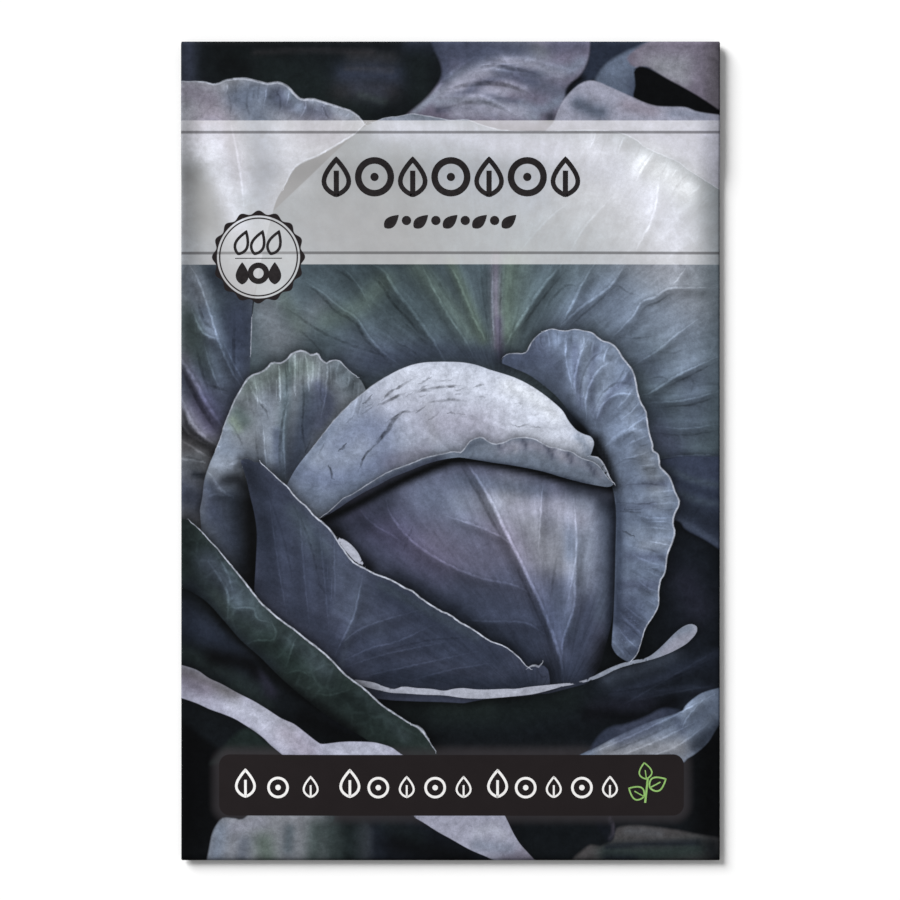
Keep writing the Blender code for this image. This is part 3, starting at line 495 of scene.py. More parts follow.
    wrapper = add("right_ruffled_leaf", "steel", RIGHT_RUFFLE_RIM, RIGHT_RUFFLE_INNER, soft=0.1, shade=0.5, reach=1.2, gain=1.07)
    wrapper.ruffle(RIGHT_RUFFLE_RIM, 2.6, 0.07, 5, lean=0.25)
    for tone, radius, strength, points in (
        ("indigo", 3, 0.75, ((9, 13.6), (12, 14), (14, 12))), ("dusk", 2, 0.5, ((13, 17), (15, 15), (17, 10))), ("soot", 2.0, 0.6, ((14.4, 10.4), (18, 6.6), (21, 2.8))),
        ("steel", 1.8, 0.7, ((16, 16.6), (18, 14), (18.6, 11))), ("haze", 1.5, 0.75, ((20.6, 16.8), (21, 13), (20, 9))), ("dusk", 0.6, 0.6, ((19, 16), (19.2, 11), (20, 7))), ("haze", 1.6, 0.7, ((24.6, 15), (23.6, 11), (22.4, 7))), ("dusk", 0.6, 0.5, ((22.2, 15.6), (21.4, 11), (21.8, 6))),
        ("haze", 1.5, 0.6, ((27.8, 8), (27.6, 5), (28.6, 3))), ("dusk", 0.6, 0.5, ((27.6, 11), (24.6, 9), (22.6, 5))), ("steel", 2.0, 0.8, ((23.6, 3), (26, -1), (28, -5.4))), ("slate", 2, 0.6, ((14, 12), (16.6, 9))),
        ("ash", 2, 0.7, ((29.6, -1), (31, -4), (31.6, -7))), ("haze", 1.3, 0.7, ((29, -7.6), (33.4, -7.4))), ("dusk", 0.5, 0.6, ((26, -5.4), (29.6, -5), (33, -5))), ("dusk", 0.6, 0.6, ((26, -8.6), (31, -8.2))),
        ("slate", 1.8, 0.6, ((27, -10), (30, -11))), ("haze", 1.2, 0.7, ((28, -12.6), (33.6, -12))), ("mist", 1.1, 0.7, ((29.5, -14.4), (33, -14.2))), ("dusk", 0.7, 0.6, ((27, -16), (32.6, -16.4))),
        ("slate", 1.0, 0.5, ((27, -18), (32, -18.6))), ("dusk", 0.9, 0.7, ((26, -20.4), (31.4, -20.6))), ("slate", 1.1, 0.6, ((28, -22.6), (31, -23))), ("dusk", 2.6, 0.6, ((26, -24), (28, -29))),
        ("navy", 0.8, 0.7, ((25.6, -7), (25.7, -16), (25.4, -26))), ("night", 0.9, 0.85, ((22.2, 1.6), (24, -1.8), (25, -5.4))), ("steel", 2.0, 0.7, ((26.8, -2), (27.6, -6.6))), ("indigo", 2.4, 0.65, ((27.6, -24.6), (28, -30))), ("steel", 0.7, 0.6, ((27, -29.6), (28.2, -29.4))),
    ):
        wrapper.stroke(tone, radius, strength, *points)
    add("gap_beside_cap", "soot", [(15.4, 8.2), (17.6, 6.6), (19.5, 5), (21, 3.4), (22, 1.6), (23, -0.4), (24, -2.8)], [(24.6, -5), (22, -2.5), (18, 3), (15.4, 7.4)], soft=0.6).stroke("night", 1.2, 0.8, (19.5, 3.4), (22.4, 0.4), (23.9, -3))

    cap = add("cap_leaf", "mist", CAP_TOP, CAP_TAIL, CURL_TOP, [(-20.2, -10.3), (-22, -9), (-24, -6.9)], soft=0.08, shade=0.32, reach=1.5)
    for tone, radius, strength, points in (
        ("pale", 6, 0.85, ((-9, 7), (-2, 8), (6, 6), (14, 4))), ("frost", 3.4, 0.85, ((-7, 12), (0, 11.5), (6, 10.2), (11, 8))), ("frost", 3.2, 0.85, ((9, 8), (13, 6.4), (16.6, 3.4))),
        ("snow", 1.6, 0.5, ((9, 10), (13, 8), (16, 5.4))), ("rose", 2.2, 0.28, ((-2, 4), (4, 4), (7, 4))), ("frost", 2.2, 0.8, ((7.6, 4.4), (11, 3.6), (15.4, 2.4))), ("lilac", 3, 0.5, ((-4, 4), (2, 3), (6, 3))), ("blue", 3.2, 0.7, ((-18, 2), (-14, 4), (-11, 3))),
        ("blue", 2.6, 0.8, ((-23, -3.4), (-19, -4.6), (-15, -4.2), (-10, -1.6))), ("steel", 2.2, 0.75, ((-22, -6.4), (-18.6, -8), (-14, -5.6))), ("mauve", 1.6, 0.4, ((-9, -1.8), (-4, -0.2))), ("mist", 1.8, 0.5, ((-21, -0.6), (-18, 3), (-14, 7))),
        ("steel", 0.7, 0.5, ((-24.4, -5), (-22, -1.6), (-18, 3.6))), ("frost", 1.1, 0.7, ((17, 1.6), (19.6, 1), (21, 1.4))), ("haze", 0.5, 0.7, ((19.3, 2.2), (20.4, 1.2), (21.2, -0.6))), ("grey", 1.0, 0.4, ((-3.5, 7), (-2.5, 2))),
    ):
        cap.stroke(tone, radius, strength, *points)

    curl = add("cap_curl", "haze", CURL_TOP[::-1], CURL_UNDER[::-1], soft=0.06, shade=0.4, reach=0.9, gain=0.8)
    for tone, radius, strength, points in (
        ("slate", 0.6, 0.75, ((-19, -9.8), (-12, -5.2), (-6, -2.5), (-1, -1))), ("mist", 0.9, 0.6, ((4.4, 1.2), (7, 0.4), (11, 1.2), (14, 0.4))), ("navy", 0.5, 0.75, ((3, -1.5), (8, -2.2), (14, -3.4), (21, -5.2))),
        ("lilac", 0.7, 0.5, ((17, -1), (20.4, -2), (23, -3.6))), ("slate", 0.5, 0.5, ((2, -0.2), (3.4, 1), (5, 1.4))), ("slate", 0.5, 0.4, ((9, 1.4), (12.5, 1.4), (15.6, 0))), ("mist", 0.5, 0.5, ((8, -0.4), (12, -0.6), (17, -1.8))),
        ("lilac", 0.9, 0.85, ((8, 0.4), (12, 0.9), (15, 0.2), (18.6, -1.2))), ("dusk", 0.3, 0.7, ((7.2, 1.4), (7.8, 0.2))), ("dusk", 0.3, 0.7, ((11, 1.8), (11.5, 0.6))), ("dusk", 0.35, 0.7, ((14.6, 0.8), (15.6, -1))),
        ("dusk", 0.3, 0.7, ((17.8, -0.2), (18.6, -1.8))), ("pale", 0.25, 0.7, ((16.4, 0.2), (17.2, -1.4))), ("pale", 0.25, 0.7, ((9.6, 1.5), (10, 0))), ("dusk", 0.35, 0.7, ((21, -1.8), (22, -3.4))), ("dusk", 0.8, 0.9, ((-19, -9.8), (-14, -7), (-8, -3.9), (-2, -1.6))),
    ):
        curl.stroke(tone, radius, strength, *points)

    front = add("front_leaf", "dusk", FRONT_LEAF_RIM, [(2, -38.5), (-15, -37), (-24, -29), (-30, -21.5)], [(-29.9, -19.5), (-29.7, -16), (-29.6, -12.5), (-30, -9.5), (-30.6, -7), (-31.3, -4), (-32.2, -1.3)], soft=0.1, shade=0.6, reach=1.3, fan=(13, -39), net=0.08, gain=0.9)
    for tone, radius, strength, points in (
        ("soot", 2.2, 0.75, ((-31, -3), (-29, -7), (-28.4, -13))), ("indigo", 4, 0.6, ((-27, -8), (-24, -14), (-22, -20))), ("slate", 3, 0.45, ((-21, -13), (-17, -18), (-14, -22))), ("navy", 2.2, 0.45, ((-28.4, -14), (-27.6, -20))),
        ("navy", 3, 0.6, ((-9, -21.6), (-2, -26.4), (6, -31))), ("indigo", 4, 0.75, ((-12, -30), (-4, -30), (4, -32))), ("slate", 1.6, 0.3, ((-17, -24), (-11, -27))), ("navy", 2.2, 0.7, ((-10, -34.6), (2, -35), (12, -35.4))),
        ("indigo", 1.4, 0.5, ((-24, -24), (-18, -29), (-16, -33))), ("dusk", 1.0, 0.5, ((-10, -30), (0, -33.2), (8, -34.2))), ("teal", 1.4, 0.5, ((-24, -9), (-19.6, -15))), ("indigo", 0.6, 0.5, ((-20.6, -12.4), (-19, -18), (-18.6, -24))),
        ("slate", 0.4, 0.5, ((-16.6, -33), (-15.4, -27), (-14, -21))), ("teal", 0.7, 0.4, ((-10.6, -20.4), (-4, -24), (4, -28.4))),
    ):
        front.stroke(tone, radius, strength, *points)

    add("turned_rim", "pale", [(-17.6, -13.1), (-16.7, -13.3), (-15.4, -14.1), (-14.2, -15.4), (-13.5, -16.8), (-12.9, -17.8)], [(-13.7, -17.4), (-14.7, -16.7), (-15.6, -15.7), (-16.5, -14.6)], soft=0.08, gain=0.92)

    rim = add("bowl_rim", "pale", BOWL_RIM_TOP, BOWL_RIM_UNDER, soft=0.06, shade=0.3, reach=0.8, gain=0.88)
    rim.stroke("mist", 2, 0.7, (22, -34.4), (27, -32.6), (31, -31.4)).stroke("lilac", 1.6, 0.8, (33, -30.6), (36, -28.4)).stroke("haze", 0.8, 0.75, (31.4, -30.2), (34, -28), (36.6, -27.1)).stroke("frost", 0.5, 0.4, (-12, -35.7), (0, -36.8), (10, -36.8))

    green = add("green_leaf", "moss", GREEN_LEAF_RIM, [(-8, -47.6), (-13, -44), (-18, -41), (-22, -38), (-26, -34.6), (-29, -31.6), (-32, -29), (-35, -25.6), (-38, -22.6), (-43, -20)], soft=0.1, shade=0.65, reach=1.2, net=0.35, gain=0.81)
    for tone, radius, strength, points in (
        ("pine", 3, 0.7, ((-42, -13), (-40, -15.4), (-37.6, -19))), ("slate", 2.2, 0.7, ((-37, -17), (-34, -20.6), (-32, -23))), ("teal", 2.2, 0.75, ((-31, -23), (-28.6, -26))), ("teal", 1.7, 0.7, ((-25, -28.6), (-22, -30.8), (-19, -33.6))),
        ("green", 2.2, 0.75, ((-28.4, -29.6), (-24, -32.8))), ("sage", 1.0, 0.5, ((-36, -22), (-34, -26))), ("teal", 1.0, 0.4, ((-14, -37.2), (-11, -40), (-7, -43.6))), ("green", 2.2, 0.6, ((-16, -38), (-11, -42))),
        ("soot", 1.7, 0.8, ((-40, -21), (-36, -25.6), (-32.4, -29.4), (-28, -33.4))), ("night", 1.4, 0.8, ((-27, -35), (-21, -39), (-15, -43))), ("pine", 1.6, 0.5, ((-18, -36), (-13, -40))),
    ):
        green.stroke(tone, radius, strength, *points)
    green.stroke("soot", 1.4, 0.6, (-41, -22), (-38, -24.4))
    add("left_hollow", "coal", [(-43, -20.5), (-39.6, -21.6), (-36.4, -25.4), (-33.4, -28.6), (-30.6, -31), (-29, -33.6), (-26.6, -36), (-22, -39), (-17, -42), (-9, -46.6)], [(-10, -48), (-30, -48), (-43, -40)], soft=0.7, gain=0.88).stroke("navy", 2.4, 0.8, (-40, -27), (-36, -29), (-30, -34)).stroke("moss", 1.4, 0.6, (-41, -31), (-34, -33.8), (-30, -36)).stroke("night", 1.5, 0.9, (-36.4, -31.6), (-31, -32.6), (-29.6, -34)).stroke("plum", 1, 0.4, (-28.4, -34), (-27.4, -37)).stroke("night", 2, 0.8, (-22, -41), (-17, -43), (-12, -43.6)).stroke("indigo", 1.5, 0.5, (-41, -24), (-37, -27.4)).stroke("moss", 1, 0.5, (-33, -36), (-28, -38.8))

    pale = add("pale_low_leaf", "lilac", PALE_LEAF_TOP, PALE_LEAF_UNDER, soft=0.09, shade=0.3, reach=0.8)
    pale.stroke("brown", 1.3, 0.8, (-42, -33.6), (-38, -35), (-33, -37.4)).stroke("mauve", 1.6, 0.6, (-42, -35), (-37.6, -36.6)).stroke("pale", 1.4, 0.6, (-33, -39), (-28.6, -41.6), (-25, -44)).stroke("rose", 2, 0.35, (-25, -43), (-22, -46)).stroke("pale", 1.4, 0.5, (-18, -45.6), (-11, -45.6)).stroke("grey", 0.7, 0.4, (-30, -38.8), (-24, -42.4))
    under = add("left_under_leaf", "green", [(-36, -47), (-33.6, -44), (-31, -42.4), (-28.6, -44.2), (-25.6, -46.8)], [(-25, -48), (-37, -48)], soft=0.5, gain=0.75)
    under.stroke("bark", 1.2, 0.8, (-34, -46.6), (-27, -46.8))

    low = add("left_bottom_leaf", "grey", [(-37.6, -64), (-37, -61), (-36.5, -58.6), (-35.6, -56.9), (-34.8, -56.2), (-33, -56.3), (-32.2, -56.5), (-31.4, -56.1), (-30.5, -55.2)], [(-18, -54), (-8, -54), (-8, -64)], soft=0.2, gain=0.9)
    low.stroke("haze", 1.6, 0.8, (-35.4, -58), (-36, -62)).stroke("lilac", 1.2, 0.5, (-33, -57.6), (-29, -57)).stroke("fern", 1.8, 0.8, (-28.6, -60), (-28, -63)).stroke("ash", 1.2, 0.7, (-25, -58), (-24.6, -62)).stroke("teal", 0.8, 0.6, (-24.6, -58), (-25, -61))
    low.stroke("sage", 1.6, 0.8, (-20.6, -58), (-21, -63)).stroke("pine", 3.6, 0.98, (-15.6, -57), (-15.6, -63)).stroke("soot", 3.4, 0.98, (-10, -56), (-10, -63)).stroke("moss", 1.6, 0.6, (-18.4, -58), (-18, -62)).stroke("coal", 1.4, 0.8, (-16, -55.8), (-8, -55.6)).stroke("slate", 1.2, 0.5, (-31.6, -60), (-32, -62.6))
    add("low_dark", "soot", [(-9, -54), (-6, -55.8), (-2, -58.2), (2, -60.4), (7, -62.8), (8, -64)], [(-12, -64), (-12, -54)], soft=1.0, gain=0.93).stroke("night", 2.4, 0.8, (-8, -60), (-2, -61.6), (2, -62.8)).stroke("pine", 1.4, 0.5, (-10, -57), (-5, -59))
    add("low_pale_leaf", "lilac", [(-6.4, -55.6), (-4, -57), (-2, -58.3), (0, -59.4), (3, -61.1), (6, -62.4), (9, -64)], [(13.8, -64), (13, -62.8), (11.8, -61.5), (10.5, -60), (9.5, -58.3), (8.8, -56.8), (8.1, -55.4)], soft=0.08, shade=0.2, gain=0.92).stroke("pale", 0.9, 0.6, (4, -58.6), (6.4, -57.8), (8, -58.8)).stroke("mauve", 1.8, 0.7, (9, -62.6), (12, -62.4)).stroke("haze", 1, 0.5, (4, -60.4), (9, -61))
    dim = add("low_brown_leaf", "brown", [(24.4, -60), (25, -58.4), (26, -57.6), (29, -57.4), (34, -58), (38, -58.8), (43, -59.6)], [(43, -64), (20, -64), (21, -60.6), (23, -60.6)], soft=0.35, gain=0.85)
    dim.stroke("moss", 1.6, 0.9, (24, -61.6), (30, -61.8), (38, -61)).stroke("soot", 0.5, 0.8, (24, -60.6), (30, -60.2), (38, -60)).stroke("coal", 1.6, 0.8, (40, -60.6), (41, -63)).stroke("soot", 0.8, 0.7, (24, -62.4), (28, -62.6)).stroke("ash", 0.6, 0.4, (27, -58.2), (32, -58.6))
    add("low_stalk", "soot", [(21.6, -55), (22.4, -57.4), (23.8, -59.6), (24.8, -59.8), (25.3, -58), (25, -56.6), (24, -55)], soft=0.25, gain=0.64).stroke("mauve", 0.3, 0.7, (24.4, -56), (25, -57.8), (24.6, -59.4))
    return leaves


def scratches():
    """Short scrapes scattered over the crown of the head, running up to the right."""
    chance = random.Random(5)
    marks = []
    while len(marks) < 22:
        x, y = chance.uniform(-16, 16), chance.uniform(2.5, 12.5)
        if not 3 < y < 12.6 - 0.028 * (x - 0) ** 2:
            continue
        length = chance.uniform(0.2, 1.1) * (1.2 if x < 0 else 0.7)
        lean = chance.uniform(-0.1, 0.25) + (0.55 if x < -3 else 0.0)
        marks.append((chance.uniform(0.08, 0.15), chance.uniform(0.35, 0.65), (x, y), (x + length, y + length * lean)))
    return marks


RIMS = [
    (0.20, 0.65, *FIRST_RIM), (0.16, 0.75, *FIRST_SIDE[:9]), (0.10, 0.45, *BACK_RIM[1:]), (0.13, 0.55, *LEFT_RUFFLE_RIM[4:-2]),
    (0.13, 0.8, *RIGHT_RUFFLE_RIM[7:50]), (0.08, 0.45, *RIGHT_RUFFLE_RIM[1:8]), (0.12, 0.85, *FRONT_LEAF_RIM[3:38]),
    (0.13, 0.75, *GREEN_LEAF_RIM[1:-1]), (0.24, 0.8, (-5.8, -41.8), (-4.9, -42.2), (-4.2, -42.9), (-3.5, -43.9)), (0.10, 0.7, *CAP_TAIL), (0.09, 0.45, *CURL_TOP), (0.10, 0.35, *CAP_TOP[3:12]),
    (0.16, 0.6, (11.9, -33), (12.8, -32.7), (13.6, -32.9), (13.9, -32.4)), (0.08, 0.45, (-30.4, 20.5), (-30.5, 17), (-30.6, 14.8)),
]

VEINS = [
    # Ribs of the far leaf at the left.
    (0.14, 0.55, (-40, 28.6), (-38.4, 25.6), (-37, 21.6), (-35.4, 16.6), (-33.4, 12), (-32, 10)), (0.16, 0.6, (-39.6, 21.6), (-38.4, 18.8), (-37, 17.5), (-35.6, 17.3)), (0.12, 0.45, (-37.6, 16), (-36.4, 12), (-35, 9)), (0.12, 0.4, (-34.4, 16), (-33, 13), (-31.8, 11)),
    (0.28, 0.85, (-41.2, 14), (-39.4, 11), (-37.6, 7.6), (-35, 3.8)), (0.26, 0.75, (-41.2, 8.2), (-39.8, 4.6), (-38, 2.4), (-35.8, 0.8)), (0.16, 0.5, (-41.4, 4.6), (-40, 2.6), (-37.6, 1.2)), (0.16, 0.5, (-41.4, 1.8), (-39, 0.2), (-37, -1)), (0.16, 0.45, (-41.4, -1.2), (-38, -1.6)),
    # Veins of the big back leaf.
    (0.14, 0.45, (-22.3, 26), (-19.5, 24.2), (-17, 22), (-14.5, 20.5), (-12.5, 17.5), (-10, 14.8), (-7.6, 13)), (0.10, 0.3, (-16.5, 28), (-15, 26.5), (-13.6, 24.6), (-12.2, 21.6)),
    (0.20, 0.55, (-12, 28.6), (-10, 27.3), (-8.4, 24.6), (-5.4, 20.8), (-2.6, 16.8), (-0.9, 13.8)), (0.14, 0.4, (-4.4, 28.4), (-2.6, 24.8), (-0.4, 20.8), (2.2, 17), (3.4, 14.6)), (0.16, 0.5, (0, 28.2), (1.2, 26), (3, 21.6), (4.2, 19), (5.6, 16.6)),
    (0.12, 0.45, (6.4, 29), (6.4, 22), (6.8, 16)), (0.20, 0.65, (17, 28.6), (14, 25), (11.2, 20.8), (8.6, 16.6)), (0.16, 0.5, (22, 28.6), (19.8, 25), (18.8, 22.8), (16.8, 19.2)), (0.15, 0.5, (26.6, 28.4), (24.4, 25.2), (20, 22), (17.2, 19.4)),
    (0.14, 0.5, (40.6, 25), (37, 25), (33.4, 24.9), (31.4, 23.6), (29.2, 22.8), (28, 20.8), (24.2, 16.8)), (0.12, 0.45, (37.6, 20), (33.8, 17.2), (32, 15.6), (27.8, 13)), (0.15, 0.65, (41.2, 14.6), (36, 12.2), (33.6, 10.9), (31.4, 9.4), (29.6, 8.6)),
    (0.13, 0.5, (41.2, 9.2), (36, 7.8), (30.6, 7.4)), (0.10, 0.3, (41.2, 4.2), (36, 3.4), (31.4, 3.8)), (0.12, 0.5, (41.2, -0.7), (36, -0.7), (32, -1.2)), (0.10, 0.35, (36, 28), (35, 26.6), (34, 25.4)),
    (0.12, 0.3, (10.2, 30), (14, 34.6), (18, 38)), (0.12, 0.3, (18.6, 31), (20.6, 34.4), (24.4, 38.6)), (0.14, 0.35, (28, 30), (31, 36), (32, 42)), (0.14, 0.35, (-33.6, 50), (-32.4, 44), (-31.6, 37)),
    # Bends of the ruffled leaves.
    (0.14, 0.5, (20.9, 17), (19.8, 14.6), (19.2, 12.4), (18.9, 10), (19.2, 8.4)), (0.14, 0.5, (24.4, 13.6), (22.6, 12.4), (21.2, 10), (20.6, 7.4), (20.8, 5)), (0.14, 0.5, (28.2, 8.6), (26, 8.8), (24, 8), (22.8, 6.4), (22, 4)), (0.10, 0.35, (17.8, 17.4), (17.6, 14), (18.8, 9)),
    (0.3, 0.4, (24, 1), (26.6, 3), (29.6, 3.2)), (0.14, 0.55, (-25, 7), (-25.5, 3), (-25.2, -4)), (0.12, 0.45, (-26.2, 12.6), (-26, 8)), (0.13, 0.5, (-23.8, 14.4), (-23.8, 9)), (0.12, 0.4, (-22, 14.2), (-21.6, 9.6)), (0.12, 0.4, (-18.8, 13), (-19, 9), (-19.8, 5)),
    (0.12, 0.4, (-28.6, 4), (-28.4, 0), (-28, -2.6)), (0.2, 0.5, (-33.8, -2.1), (-32.6, -1.6), (-31.6, -1.7)), (0.2, 0.5, (-36.8, -3.6), (-35, -6), (-33.4, -6.9)), (0.14, 0.35, (-37.4, -7.2), (-36, -6.6), (-34, -6.9)), (0.16, 0.35, (-31, 10.6), (-29.6, 8), (-28.6, 7.2)),
    # Veins of the head's front leaf.
    (0.22, 0.75, (2.4, -1.6), (4, -4), (5.6, -6.6), (8.6, -12.6), (11, -17.6), (13.6, -23), (15.6, -28), (17, -32.8), (17.2, -35)), (0.13, 0.45, (9.2, -14.4), (7.6, -13), (3.4, -11.2), (-0.5, -10)),
    (0.15, 0.45, (12.8, -22), (9.2, -20.3), (4.6, -19.4), (-1, -17), (-6, -13.6), (-9.2, -9.6), (-9.8, -7.6)), (0.12, 0.35, (-8, -13.4), (-12, -11), (-13.6, -9.2)), (0.13, 0.35, (14.4, -28), (11.4, -26.2), (5.6, -26), (2.4, -25.8)),
    (0.15, 0.5, (17, -31.6), (17.2, -28.6), (18.8, -24), (19, -19.6), (19.2, -16.6)), (0.12, 0.35, (14, -5), (13.8, -9), (13.4, -15)), (0.12, 0.4, (18.8, -7), (19.2, -15), (18, -22.6)),
    # Ribs of the dark leaf in front and the veins of the green one.
    (0.13, 0.45, (-17.6, -31), (-15.6, -27), (-14.6, -24.6), (-13.4, -19)), (0.11, 0.35, (-17, -29.6), (-13, -26.8), (-5, -24.3)), (0.11, 0.35, (-16, -31.8), (-12, -30), (-8, -29), (-2.8, -26.6)), (0.10, 0.3, (-16, -33), (-10, -31), (0, -29)), (0.10, 0.3, (-14, -34.6), (-8, -33.2), (4, -30.6)), (0.10, 0.3, (-6, -35), (0, -33.4), (6, -32.4)),
    (0.10, 0.25, (-27.6, -8), (-26.4, -17), (-25, -25)), (0.10, 0.25, (-23, -10), (-22.4, -18), (-21.6, -26)), (0.10, 0.25, (-20, -12), (-19.2, -20), (-18.6, -27)), (0.10, 0.25, (-17.8, -14), (-17.6, -22)),
    (0.16, 0.5, (-37, -17), (-35.6, -19), (-34.4, -21), (-34, -23), (-34.2, -26)), (0.13, 0.4, (-35.4, -16.4), (-34, -19), (-33.4, -21)), (0.14, 0.5, (-34, -24), (-31.6, -24), (-30, -24.2), (-29.6, -25.6), (-27.6, -26.2)),
    (0.15, 0.55, (-31, -29.4), (-29.4, -28.9), (-27.2, -28.9), (-26.6, -27.6), (-27.4, -26)), (0.13, 0.45, (-25, -32.6), (-24.4, -30.6), (-23.6, -28.6)), (0.12, 0.4, (-25, -34), (-23, -33.6), (-21, -34.6)), (0.12, 0.4, (-21, -37), (-18, -37.2), (-14.4, -36)),
    # The crumpled leaf at the top and the low ones.
    (0.3, 0.28, (2.6, 58), (6, 58.6), (9, 58.2), (11, 57)), (0.3, 0.25, (5, 57), (8, 56.8), (11, 55.8), (12.6, 54.6)), (0.3, 0.28, (-1.6, 54.4), (2, 54.4), (5.4, 54.2), (8, 53)),
    (0.3, 0.22, (5, 60.4), (8, 60.2), (12, 60), (15.6, 59.2), (18.6, 58.2)), (0.3, 0.25, (-3, 54), (-1.4, 56.4), (0.6, 58.4), (3, 60)), (0.12, 0.25, (26, -39), (33, -35), (41, -30.4)), (0.12, 0.25, (27, -38.4), (34, -37), (40, -36)), (0.10, 0.4, (35.4, -42.6), (36.4, -40.6), (38.6, -38.2)),
    (0.12, 0.4, (21, -46.4), (28, -43.4), (34, -40.6), (40.6, -37.2)), (0.12, 0.35, (25, -47), (31, -44.6), (37, -41.8)), (0.12, 0.35, (30, -47), (35, -45), (39.4, -41.8)),
]

